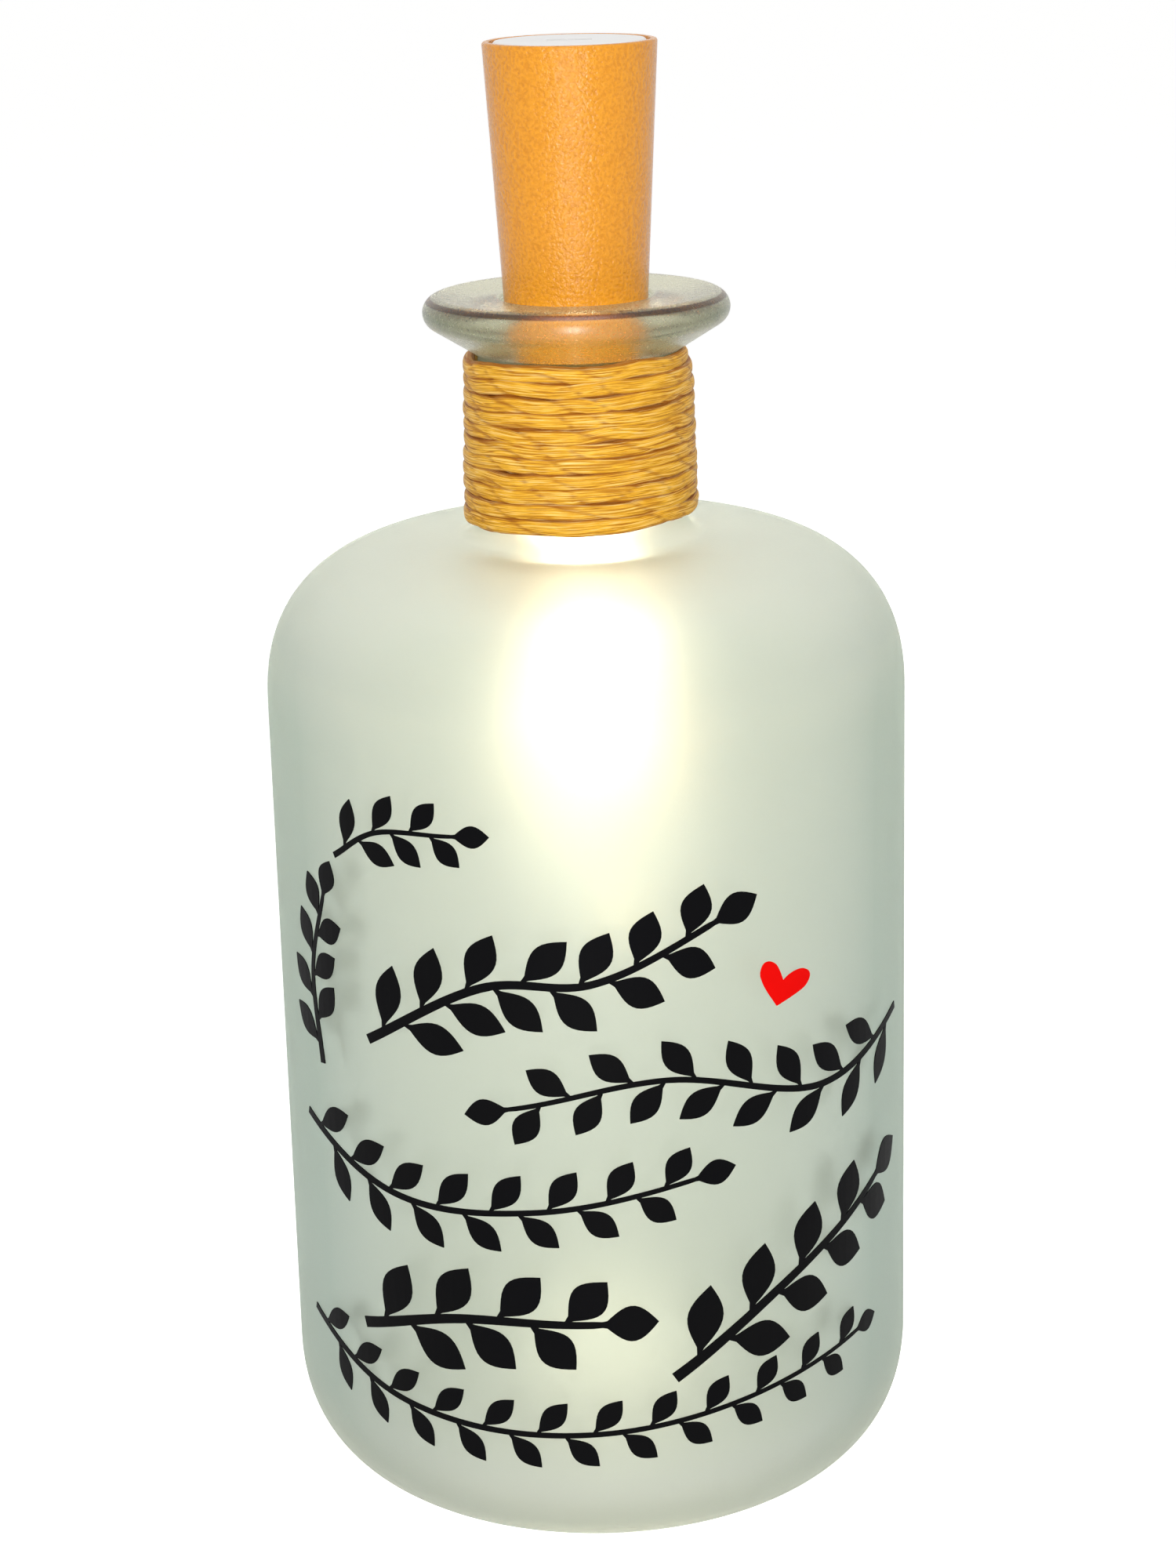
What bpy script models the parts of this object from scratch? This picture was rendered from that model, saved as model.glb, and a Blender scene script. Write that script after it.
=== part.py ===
"""Frosted apothecary bottle lit from inside by a light string that hangs from a battery stopper.

Metres, +Z up. The origin is the middle of the standing ring, and the decorated side faces -Y.
"""

import math

import bmesh
import bpy
from mathutils import Matrix, Vector

MM = 0.001
PART_NAME = "bottle_light"
FULL_TURN = 2.0 * math.pi
TOUCH_GAP = 0.3 * MM
CUT_OVERRUN = 1.0 * MM
MERGE_DISTANCE = 0.001 * MM

# Glass bottle, measured over its outer skin from the standing ring up.
BODY_RADIUS = 41.25 * MM
GLASS_HEIGHT = 158.0 * MM
SIDE_WALL = 3.0 * MM
BASE_THICKNESS = 5.0 * MM
PUNT_DEPTH = 3.0 * MM
STANDING_RING_WIDTH = 4.0 * MM
HEEL_WIDTH = 17.6 * MM
HEEL_HEIGHT = 18.0 * MM
HEEL_EXPONENT = 2.31
SHOULDER_START = 106.1 * MM
SHOULDER_RISE = 21.4 * MM
SHOULDER_EXPONENT = 2.47
NECK_ROOT_FILLET = 3.0 * MM
NECK_ROOT_RADIUS = 13.2 * MM
NECK_TOP_RADIUS = 12.6 * MM
LIP_RADIUS = 19.4 * MM
LIP_EDGE_RADIUS = 2.1 * MM
LIP_DEPTH = 7.6 * MM
LIP_UNDERCUT_ANGLE = math.radians(-58.0)
LIP_ROOT_FLARE = 0.8 * MM
LIP_ROOT_RISE = 0.6 * MM
MOUTH_DISH = 0.4 * MM
MOUTH_EDGE_RADIUS = 0.8 * MM
PUNT_RIM_SHARE = 0.75
BOTTLE_SEGMENTS = 40
LIP_STEPS = 6
FILLET_STEPS = 3
HEEL_STEPS = 8
SHOULDER_STEPS = 9

# Stopper: a tapered plastic shell, coaxial with the neck, held by its taper in the mouth.
STOPPER_LENGTH = 45.0 * MM
STOPPER_TOP_RADIUS = 10.85 * MM
STOPPER_BOTTOM_RADIUS = 8.37 * MM
STOPPER_INSERTION = 13.6 * MM
STOPPER_EDGE = 0.4 * MM
RIM_WALL = 0.9 * MM
SHELL_FLOOR = 2.5 * MM
WIRE_CHAMBER_RADIUS = 5.6 * MM
SHELL_SEGMENTS = 36

# Button cells and the carrier that holds them in a stack.
CELL_COUNT = 3
CELL_RADIUS = 5.8 * MM
CELL_HEIGHT = 5.4 * MM
CELL_CAN_HEIGHT = 4.9 * MM
CELL_CAN_WALL = 0.35 * MM
CELL_CRIMP_WIDTH = 0.7 * MM
CELL_EDGE = 0.25 * MM
GASKET_WALL = 0.4 * MM
CELL_SEGMENTS = 16
CARRIER_WALL = 0.9 * MM
CARRIER_PLATE = 1.2 * MM
DISC_THICKNESS = 2.5 * MM
DISC_EDGE = 0.35 * MM
BAY_LIP_DEPTH = 1.0 * MM
BAY_MOUTH_CLEARANCE = 0.1 * MM
SWITCH_BAY_HEIGHT = 4.2 * MM
SWITCH_BAY_HALF_LENGTH = 5.4 * MM
SWITCH_BAY_BACK = 2.8 * MM
CARRIER_SEGMENTS = 36

# Sprung strips, wiper and knob of the switch.
STRIP_THICKNESS = 0.35 * MM
STRIP_WIDTH = 1.2 * MM
CONTACT_WIDTH = 2.4 * MM
SPRING_LEAF_RISE = 1.4 * MM
SWITCH_TRAVEL = 2.2 * MM
KNOB_LENGTH = 2.8 * MM
KNOB_WIDTH = 2.2 * MM
KNOB_SINK = 0.2 * MM
KNOB_EDGE = 0.25 * MM
KNOB_FLANGE_LENGTH = 5.0 * MM
KNOB_FLANGE_WIDTH = 3.8 * MM
KNOB_FLANGE_HEIGHT = 0.9 * MM
WIPER_LENGTH = 4.6 * MM
WIPER_WIDTH = 1.8 * MM
WIPER_CREST = 0.7 * MM

# Circuit board, its spring contacts, the resistor, the wires under it and the seal.
BOARD_THICKNESS = 1.0 * MM
BOARD_CONTACT_HEIGHT = 3.2 * MM
BOARD_CONTACT_REACH = 2.6 * MM
BOARD_CONTACT_OFFSET = 1.6 * MM
RESISTOR_LENGTH = 3.2 * MM
RESISTOR_WIDTH = 1.6 * MM
RESISTOR_HEIGHT = 0.7 * MM
RESISTOR_EDGE = 0.15 * MM
RESISTOR_OFFSET = 2.2 * MM
SEAL_FLANGE_RADIUS = 2.6 * MM
SEAL_FLANGE_HEIGHT = 0.9 * MM
SEAL_NECK_RADIUS = 1.6 * MM
SEAL_BOSS_HEIGHT = 0.8 * MM
SEAL_SEGMENTS = 20

# Light string: 0.75 m of wire, folded into a hank that a twist tie holds.
WIRE_DIAMETER = 0.8 * MM
WIRE_BEVEL_RESOLUTION = 2
WIRE_POINT_SPACING = 2.0 * MM
SAMPLES_PER_SPACING = 4
HANK_LOOPS = 7.25
HANK_POINTS_PER_LOOP = 24
HANK_FOLD_RADIUS = 2.4 * MM
HANK_LOOP_STEP = 1.44 * MM
HANK_LAYER_STEP = 1.3 * MM
HANK_WAIST_SHARE = 0.85
HANK_RUN_SHARE = 0.25
HANK_RUN_TOP = 131.0 * MM
HANK_RUN_LENGTH = 33.0 * MM
TIE_HEIGHT = 1.5 * MM
TIE_THICKNESS = 0.5 * MM
TIE_DROP = 2.3 * MM
DROP_COUNT = 15
DROP_SPACING = 50.0 * MM
DROP_LENGTH = 2.4 * MM
DROP_RADIUS = 0.65 * MM
LEAD_POINTS = [
    (0.0 * MM, 0.0 * MM, 142.9 * MM),
    (0.1 * MM, -0.05 * MM, 141.1 * MM),
    (1.3 * MM, -0.2 * MM, 139.2 * MM),
    (4.2 * MM, -0.4 * MM, 137.6 * MM),
    (6.6 * MM, -0.6 * MM, 135.2 * MM),
    (7.4 * MM, -0.65 * MM, 132.9 * MM),
    (7.44 * MM, -0.65 * MM, 131.3 * MM),
]
TAIL_POINTS = [
    (7.44 * MM, 0.65 * MM, 97.7 * MM),
    (7.4 * MM, 0.65 * MM, 95.7 * MM),
    (6.9 * MM, 0.6 * MM, 91.5 * MM),
    (5.6 * MM, 0.5 * MM, 86.0 * MM),
    (4.6 * MM, 0.4 * MM, 80.5 * MM),
    (4.4 * MM, 0.4 * MM, 77.0 * MM),
]
INNER_LEAD_OFFSET = 1.2 * MM
INNER_LEAD_SHARES = [(1.0, 1.0), (1.0, 0.82), (0.7, 0.55), (0.15, 0.25), (0.0, 0.1), (0.0, 0.0)]

# Cord wound round the neck, one helix from under the lip down to the shoulder.
TWINE_DIAMETER = 1.4 * MM
TWINE_TURNS = 10.6
TWINE_PITCH = 1.88 * MM
TWINE_POINTS_PER_TURN = 24
TWINE_START_ANGLE = math.radians(80.0)

# Film motifs on the front, each a sprig of leaves on a stem. Places are an arc round the body and a height.
FILM_THICKNESS = 0.25 * MM
FILM_BEND_STEP = 8.0 * MM
LEAF_POINTS = 4
LEAF_ANGLE = math.radians(46.0)
LEAF_BELLY_EXPONENT = 1.1
LEAF_FOOT_SHARE = 0.08
LEAF_TAPER_SHARE = 0.25
STALK_TAPER_SHARE = 0.4
TIP_LEAF_SHARE = 0.75
HEART_ARC = 25.0 * MM
HEART_CLEARANCE = 3.2 * MM
HEART_WIDTH = 7.6 * MM
HEART_TILT = math.radians(-14.0)
HEART_POINTS = 20
SPRIGS = {
    "ornament_small_sprig_left": dict(
        stem=[(-36.0 * MM, 93.0 * MM), (-28.0 * MM, 97.5 * MM), (-17.0 * MM, 98.5 * MM)],
        leaf=6.4 * MM, width=2.8 * MM, gap=6.2 * MM, stalk=0.8 * MM,
    ),
    "ornament_tall_sprig_left": dict(
        stem=[(-41.0 * MM, 64.0 * MM), (-42.5 * MM, 76.0 * MM), (-39.0 * MM, 87.0 * MM)],
        leaf=7.0 * MM, width=3.4 * MM, gap=6.2 * MM, stalk=1.1 * MM,
    ),
    "ornament_long_branch_top": dict(
        stem=[(-31.0 * MM, 70.0 * MM), (-14.0 * MM, 79.5 * MM), (0, 80.5 * MM), (15.0 * MM, 87.0 * MM)],
        leaf=8.6 * MM, width=4.0 * MM, gap=7.0 * MM, stalk=1.3 * MM,
    ),
    "ornament_long_branch_middle": dict(
        stem=[(50.0 * MM, 67.0 * MM), (31.0 * MM, 62.5 * MM), (9.0 * MM, 67.5 * MM), (-11.0 * MM, 64.0 * MM)],
        leaf=7.8 * MM, width=3.4 * MM, gap=7.8 * MM, stalk=1.0 * MM,
    ),
    "ornament_wide_branch": dict(
        stem=[(-46 * MM, 56 * MM), (-27 * MM, 50 * MM), (-8 * MM, 50.5 * MM), (12 * MM, 54 * MM)],
        leaf=7.4 * MM, width=3.3 * MM, gap=7.6 * MM, stalk=1.0 * MM,
    ),
    "ornament_bold_sprig_left": dict(
        stem=[(-34.0 * MM, 30.5 * MM), (-18.0 * MM, 35.0 * MM), (0.0 * MM, 35.5 * MM)],
        leaf=9.4 * MM, width=4.8 * MM, gap=8.2 * MM, stalk=1.5 * MM,
    ),
    "ornament_bold_sprig_right": dict(
        stem=[(9.0 * MM, 27.5 * MM), (24.0 * MM, 37.0 * MM), (43.0 * MM, 46.0 * MM)],
        leaf=9.4 * MM, width=4.8 * MM, gap=8.2 * MM, stalk=1.5 * MM,
    ),
    "ornament_low_garland": dict(
        stem=[(-47 * MM, 28 * MM), (-27 * MM, 21.5 * MM), (0, 20.5 * MM), (38 * MM, 26 * MM)],
        leaf=6.4 * MM, width=2.9 * MM, gap=7.2 * MM, stalk=0.9 * MM,
    ),
}

# Heights and radii that follow from the sizes above. The heart hovers over the leaves of the middle branch.
HEART_BRANCH = SPRIGS["ornament_long_branch_middle"]
HEART_BRANCH_TOP = HEART_BRANCH["stem"][1][1] + HEART_BRANCH["leaf"]
HEART_HEIGHT = HEART_BRANCH_TOP + HEART_CLEARANCE + HEART_WIDTH / 2
MOUTH_HEIGHT = GLASS_HEIGHT - MOUTH_DISH
STOPPER_BOTTOM = MOUTH_HEIGHT - STOPPER_INSERTION
STOPPER_TOP = STOPPER_BOTTOM + STOPPER_LENGTH
STOPPER_TAPER = (STOPPER_TOP_RADIUS - STOPPER_BOTTOM_RADIUS) / STOPPER_LENGTH
STOPPER_MOUTH_RADIUS = STOPPER_BOTTOM_RADIUS + STOPPER_TAPER * STOPPER_INSERTION
MOUTH_RADIUS = STOPPER_MOUTH_RADIUS + TOUCH_GAP
CARRIER_INNER_RADIUS = CELL_RADIUS + TOUCH_GAP
CARRIER_RADIUS = CARRIER_INNER_RADIUS + CARRIER_WALL
SHELL_BORE_RADIUS = CARRIER_RADIUS + TOUCH_GAP
RECESS_RADIUS = STOPPER_TOP_RADIUS - RIM_WALL
DISC_RADIUS = RECESS_RADIUS - TOUCH_GAP
DISC_TOP = STOPPER_TOP
DISC_BOTTOM = DISC_TOP - DISC_THICKNESS
RECESS_FLOOR = DISC_BOTTOM - TOUCH_GAP
SWITCH_BAY_FLOOR = DISC_BOTTOM - SWITCH_BAY_HEIGHT
CELL_BAY_TOP = SWITCH_BAY_FLOOR - CARRIER_PLATE
TOP_CONTACT_SPACE = STRIP_THICKNESS + 2 * TOUCH_GAP
SPRING_SPACE = SPRING_LEAF_RISE + STRIP_THICKNESS / 2
CELL_PITCH = CELL_HEIGHT + TOUCH_GAP
CELL_STACK = CELL_COUNT * CELL_PITCH
CELL_BAY_BOTTOM = CELL_BAY_TOP - TOP_CONTACT_SPACE - CELL_STACK - SPRING_SPACE
CARRIER_BOTTOM = CELL_BAY_BOTTOM - CARRIER_PLATE
FOOT_BOTTOM = CARRIER_BOTTOM - TOUCH_GAP - STRIP_THICKNESS
BOARD_TOP = FOOT_BOTTOM - 2 * TOUCH_GAP - BOARD_CONTACT_HEIGHT
BOARD_BOTTOM = BOARD_TOP - BOARD_THICKNESS
BOARD_LEDGE = BOARD_BOTTOM - TOUCH_GAP
SHELL_FLOOR_TOP = STOPPER_BOTTOM + SHELL_FLOOR
SEAL_BOTTOM = SHELL_FLOOR_TOP + TOUCH_GAP
SEAL_TOP = SEAL_BOTTOM + SEAL_FLANGE_HEIGHT
HANK_MIDDLE = HANK_RUN_TOP - HANK_RUN_LENGTH / 2
HANK_WIDEST = HANK_FOLD_RADIUS + HANK_LOOP_STEP * (HANK_LOOPS - HANK_RUN_SHARE) / 2
CONTACT_PAD_TOP = SWITCH_BAY_FLOOR + TOUCH_GAP + STRIP_THICKNESS
STRIP_PAD_PLACE = SWITCH_TRAVEL / 2 - WIPER_LENGTH / 2 + WIPER_CREST
STRIP_HALF_SLOT = STRIP_WIDTH / 2 + TOUCH_GAP
LEG_PLACE = SWITCH_BAY_HALF_LENGTH - STRIP_THICKNESS - TOUCH_GAP
LEG_HALF_SLOT = STRIP_THICKNESS / 2 + TOUCH_GAP
CONTACT_HALF_SLOT = CONTACT_WIDTH / 2 + TOUCH_GAP
SPRING_LEG_PLACE = -CELL_RADIUS / 2


def reset_scene():
    for old in list(bpy.data.objects):
        bpy.data.objects.remove(old, do_unlink=True)


def new_collection(name):
    collection = bpy.data.collections.new(name)
    bpy.context.scene.collection.children.link(collection)
    return collection


def finish(name, color, roughness=0.5, metallic=0.0, transmission=0.0, glow=0.0):
    """A Principled material of the given colour."""
    made = bpy.data.materials.new(name)
    made.use_nodes = True
    shader = made.node_tree.nodes["Principled BSDF"]
    shader.inputs["Base Color"].default_value = (*color, 1.0)
    shader.inputs["Roughness"].default_value = roughness
    shader.inputs["Metallic"].default_value = metallic
    shader.inputs["Transmission Weight"].default_value = transmission
    if glow:
        shader.inputs["Emission Color"].default_value = (*color, 1.0)
        shader.inputs["Emission Strength"].default_value = glow
    made.diffuse_color = (*color, 1.0)
    return made


def body_frame(name, location, parent=None):
    """An empty on a joint's axis, which carries the pieces of one moving body."""
    empty = bpy.data.objects.new(name, None)
    parts.objects.link(empty)
    place(empty, location, parent)
    return empty


def place(piece, location, parent=None):
    """Puts a piece at a world place, also where its parent stands elsewhere."""
    piece.parent = parent
    corner = Vector(location)
    carrier = parent
    while carrier:
        corner -= carrier.location
        carrier = carrier.parent
    piece.location = corner


def add_piece(name, data, material, location=(0, 0, 0), parent=None):
    piece = bpy.data.objects.new(name, data)
    parts.objects.link(piece)
    data.materials.append(material)
    place(piece, location, parent)
    return piece


def smooth(piece, angle=math.radians(40.0)):
    piece.data.shade_smooth()
    piece.data.set_sharp_from_angle(angle=angle)


def turned(name, profile, segments, material, location=(0, 0, 0), parent=None, closed=False):
    """A turned piece: the profile runs down its outer side, and closed joins its two ends."""
    mesh = bpy.data.meshes.new(name)
    edges = [(i, i + 1) for i in range(len(profile) - 1)]
    if closed:
        edges.append((len(profile) - 1, 0))
    mesh.from_pydata([(radius, 0, height) for radius, height in profile], edges, [])
    piece = add_piece(name, mesh, material, location, parent)
    screw = piece.modifiers.new("Turn", "SCREW")
    screw.steps = segments
    screw.render_steps = segments
    screw.use_merge_vertices = True
    screw.merge_threshold = MERGE_DISTANCE
    screw.use_smooth_shade = True
    return piece


def arc(middle, radius, start, end, steps):
    """Points of an arc in a profile's plane, from one angle to the other."""
    points = []
    for step in range(steps + 1):
        angle = start + (end - start) * step / steps
        points.append((middle[0] + radius * math.cos(angle), middle[1] + radius * math.sin(angle)))
    return points


def rounded_quarter(inner, outer, exponent, steps):
    """Points of a squarish quarter curve, from the outer radius at the inner height round to its top."""
    points = []
    for step in range(steps + 1):
        angle = math.pi / 2 * step / steps
        across = max(math.cos(angle), 0) ** (2 / exponent)
        along = max(math.sin(angle), 0) ** (2 / exponent)
        radius = inner[0] + (outer[0] - inner[0]) * across
        points.append((radius, inner[1] + (outer[1] - inner[1]) * along))
    return points


def block(name, low, high, bevel=0, material=None, parent=None):
    """A box between two corners, its origin at its middle. With no material it is a cutter."""
    low, high = Vector(low), Vector(high)
    shape = bmesh.new()
    bmesh.ops.create_cube(shape, size=1)
    bmesh.ops.scale(shape, vec=high - low, verts=shape.verts)
    mesh = bpy.data.meshes.new(name)
    shape.to_mesh(mesh)
    shape.free()
    middle = (low + high) / 2
    if material is None:
        return add_cutter(name, mesh, middle)
    piece = add_piece(name, mesh, material, middle, parent)
    if bevel:
        edge = piece.modifiers.new("Edge", "BEVEL")
        edge.width = bevel
        edge.segments = 2
    return piece


def add_cutter(name, mesh, location):
    cutter = bpy.data.objects.new(name, mesh)
    cutters.objects.link(cutter)
    cutter.location = location
    cutter.hide_render = True
    cutter.display_type = "WIRE"
    return cutter


def round_cutter(name, radius, low, high, segments):
    shape = bmesh.new()
    bmesh.ops.create_cone(
        shape, cap_ends=True, segments=segments, radius1=radius, radius2=radius, depth=high - low
    )
    mesh = bpy.data.meshes.new(name)
    shape.to_mesh(mesh)
    shape.free()
    return add_cutter(name, mesh, (0, 0, (low + high) / 2))


def combine(piece, other, operation):
    boolean = piece.modifiers.new(other.name, "BOOLEAN")
    boolean.operation = operation
    boolean.solver = "EXACT"
    boolean.object = other


def cut(piece, cutter):
    combine(piece, cutter, "DIFFERENCE")


def tube(name, points, diameter, resolution, material, parent=None):
    """A round tube with filled caps along world points."""
    curve = bpy.data.curves.new(name, "CURVE")
    curve.dimensions = "3D"
    curve.bevel_depth = diameter / 2
    curve.bevel_resolution = resolution
    curve.use_fill_caps = True
    curve.twist_mode = "MINIMUM"
    piece = add_piece(name, curve, material, points[0], parent)
    start = Vector(points[0])
    spline = curve.splines.new("POLY")
    spline.points.add(len(points) - 1)
    for target, point in zip(spline.points, points):
        target.co = (*(Vector(point) - start), 1)
    spline.use_smooth = True
    return piece


def bent_strip(name, path, width, plane, middle, parent=None):
    """Sprung brass strip bent along a path in plane XZ or YZ, centred at middle."""
    curve = flat_outline(name, [ribbon_outline(path, STRIP_THICKNESS)], width)
    piece = add_piece(name, curve, spring_brass, middle, parent)
    turn = math.pi / 2 if plane == "YZ" else 0
    piece.rotation_euler = (math.pi / 2, 0, turn)


def flat_outline(name, outlines, thickness):
    """A filled 2D curve. The first outline is the rim, and each more is a hole."""
    curve = bpy.data.curves.new(name, "CURVE")
    curve.dimensions = "2D"
    curve.fill_mode = "BOTH"
    curve.extrude = thickness / 2
    for outline in outlines:
        spline = curve.splines.new("POLY")
        spline.points.add(len(outline) - 1)
        for target, point in zip(spline.points, outline):
            target.co = (*point, 0, 1)
        spline.use_cyclic_u = True
    return curve


def ribbon_outline(path, thickness):
    """The outline of a strip that follows a path, seen on edge."""
    left, right = [], []
    last = len(path) - 1
    for index, point in enumerate(path):
        before = Vector(path[max(index - 1, 0)])
        after = Vector(path[min(index + 1, last)])
        here = Vector(point)
        into = (here - before).normalized() if index else (after - here).normalized()
        out = (after - here).normalized() if index < last else into
        along = (into + out).normalized()
        side = Vector((-along.y, along.x)) * thickness / 2 / along.dot(out)
        left.append(tuple(here + side))
        right.append(tuple(here - side))
    return left + right[::-1]


def smooth_route(points, spacing):
    """Points at about an even spacing on one smooth curve through the given ones."""
    knots = [Vector(point) for point in points]
    first = knots[0] * 2 - knots[1]
    last = knots[-1] * 2 - knots[-2]
    padded = [first, *knots, last]
    fine = []
    for index in range(len(knots) - 1):
        before, start, end, after = padded[index : index + 4]
        steps = max(2, round((end - start).length / spacing * SAMPLES_PER_SPACING))
        for step in range(steps):
            share = step / steps
            fine.append(curve_point(before, start, end, after, share))
    fine.append(knots[-1])
    return even_points(fine, spacing)


def curve_point(before, start, end, after, share):
    """A point of the smooth curve between start and end, a share of the way along."""
    bend = 2 * before - 5 * start + 4 * end - after
    twist = 3 * start - before - 3 * end + after
    return (2 * start + (end - before) * share + bend * share**2 + twist * share**3) / 2


def lengths_along(points):
    total = [0.0]
    for start, end in zip(points, points[1:]):
        total.append(total[-1] + (Vector(end) - Vector(start)).length)
    return total


def point_at(points, lengths, distance):
    """The point and the direction at a distance along a route."""
    for index in range(len(points) - 1):
        if lengths[index + 1] >= distance or index == len(points) - 2:
            start, end = Vector(points[index]), Vector(points[index + 1])
            share = (distance - lengths[index]) / (lengths[index + 1] - lengths[index])
            return start.lerp(end, min(share, 1)), (end - start).normalized()


def even_points(points, spacing):
    lengths = lengths_along(points)
    count = max(2, round(lengths[-1] / spacing))
    return [point_at(points, lengths, lengths[-1] * i / count)[0] for i in range(count + 1)]


def least_gap(points, diameter, skip):
    """The least distance between the surfaces of a tube's turns, leaving out its near neighbours."""
    least = math.inf
    for index, point in enumerate(points):
        for other in range(index + skip, len(points) - 1):
            start, end = points[other], points[other + 1]
            along = end - start
            share = max(0, min(1, (point - start).dot(along) / along.length_squared))
            least = min(least, (point - start - along * share).length)
    return least - diameter


reset_scene()
parts = new_collection(PART_NAME)
cutters = new_collection("cutters")

frosted_glass = finish("frosted_glass", (0.80, 0.85, 0.79), roughness=0.45, transmission=0.7)
golden_cord = finish("golden_cord", (0.72, 0.44, 0.13), roughness=0.75)
black_film = finish("black_film", (0.01, 0.01, 0.01), roughness=0.45)
red_film = finish("red_film", (0.85, 0.01, 0.01), roughness=0.4)
cork_plastic = finish("cork_plastic", (0.80, 0.38, 0.09), roughness=0.38)
white_plastic = finish("white_plastic", (0.86, 0.86, 0.84), roughness=0.4)
black_plastic = finish("black_plastic", (0.03, 0.03, 0.03), roughness=0.4)
spring_brass = finish("spring_brass", (0.80, 0.62, 0.30), roughness=0.3, metallic=1.0)
cell_steel = finish("cell_steel", (0.72, 0.72, 0.72), roughness=0.25, metallic=1.0)
cell_gasket = finish("cell_gasket", (0.10, 0.25, 0.12), roughness=0.5)
board_green = finish("board_green", (0.04, 0.22, 0.08), roughness=0.45)
resistor_black = finish("resistor_black", (0.02, 0.02, 0.02), roughness=0.5)
seal_silicone = finish("seal_silicone", (0.85, 0.85, 0.80), roughness=0.5)
copper_wire = finish("copper_wire", (0.80, 0.45, 0.22), roughness=0.3, metallic=1.0)
tie_white = finish("tie_white", (0.90, 0.90, 0.88), roughness=0.6)
warm_drop = finish("warm_drop", (1.0, 0.80, 0.45), roughness=0.2, glow=6.0)

stopper = body_frame("stopper_axis", (0, 0, STOPPER_BOTTOM))
cartridge = body_frame("cartridge_axis", (0, 0, DISC_TOP), stopper)
slider = body_frame("switch_axis", (SWITCH_TRAVEL / 2, 0, DISC_TOP), cartridge)


def neck_radius_at(height):
    """The neck's outer radius, which grows a little towards its root."""
    root = SHOULDER_START + SHOULDER_RISE + NECK_ROOT_FILLET
    top = GLASS_HEIGHT - LIP_DEPTH
    share = (height - root) / (top - root)
    return NECK_ROOT_RADIUS + (NECK_TOP_RADIUS - NECK_ROOT_RADIUS) * share


def bottle_inside():
    """The inner profile from the middle of the floor up to the mouth."""
    shoulder_top = SHOULDER_START + SHOULDER_RISE
    inner_radius = BODY_RADIUS - SIDE_WALL
    root_reach = NECK_ROOT_RADIUS + NECK_ROOT_FILLET
    inner_fillet = root_reach - MOUTH_RADIUS
    inner_shoulder_top = shoulder_top + NECK_ROOT_FILLET - inner_fillet
    floor_edge = (BODY_RADIUS - HEEL_WIDTH, BASE_THICKNESS)
    heel = rounded_quarter(
        (floor_edge[0], HEEL_HEIGHT), (inner_radius, floor_edge[1]), HEEL_EXPONENT, HEEL_STEPS - 2
    )
    shoulder = rounded_quarter(
        (root_reach, SHOULDER_START), (inner_radius, inner_shoulder_top),
        SHOULDER_EXPONENT, SHOULDER_STEPS - 2,
    )
    root_middle = (root_reach, shoulder_top + NECK_ROOT_FILLET)
    root = arc(root_middle, inner_fillet, -math.pi / 2, -math.pi, FILLET_STEPS + 1)
    mouth = arc(
        (MOUTH_RADIUS + MOUTH_EDGE_RADIUS, MOUTH_HEIGHT - MOUTH_EDGE_RADIUS),
        MOUTH_EDGE_RADIUS, math.pi, math.pi / 2, FILLET_STEPS,
    )
    floor = [(0, BASE_THICKNESS + PUNT_DEPTH / 2)]
    return floor + heel[::-1] + shoulder[:-1] + root + mouth


def bottle_outside():
    """The outer profile from the lip's crest down to the middle of the punt."""
    shoulder_top = SHOULDER_START + SHOULDER_RISE
    lip_root = GLASS_HEIGHT - LIP_DEPTH
    root_reach = NECK_ROOT_RADIUS + NECK_ROOT_FILLET
    edge = arc(
        (LIP_RADIUS - LIP_EDGE_RADIUS, GLASS_HEIGHT - LIP_EDGE_RADIUS),
        LIP_EDGE_RADIUS, math.pi / 2, LIP_UNDERCUT_ANGLE, LIP_STEPS,
    )
    under_lip = [(NECK_TOP_RADIUS + LIP_ROOT_FLARE, lip_root + LIP_ROOT_RISE), (NECK_TOP_RADIUS, lip_root)]
    root_middle = (root_reach, shoulder_top + NECK_ROOT_FILLET)
    root = arc(root_middle, NECK_ROOT_FILLET, -math.pi, -math.pi / 2, FILLET_STEPS)
    shoulder = rounded_quarter(
        (root_reach, SHOULDER_START), (BODY_RADIUS, shoulder_top), SHOULDER_EXPONENT, SHOULDER_STEPS
    )
    heel = rounded_quarter(
        (BODY_RADIUS - HEEL_WIDTH, HEEL_HEIGHT), (BODY_RADIUS, 0), HEEL_EXPONENT, HEEL_STEPS
    )
    ring_inside = BODY_RADIUS - HEEL_WIDTH - STANDING_RING_WIDTH
    punt = [(ring_inside, 0), (ring_inside / 2, PUNT_DEPTH * PUNT_RIM_SHARE), (0, PUNT_DEPTH)]
    return edge + under_lip + root + shoulder[-2::-1] + heel + punt


def build_bottle():
    turned("glass_bottle", bottle_inside() + bottle_outside(), BOTTLE_SEGMENTS, frosted_glass)


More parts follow.
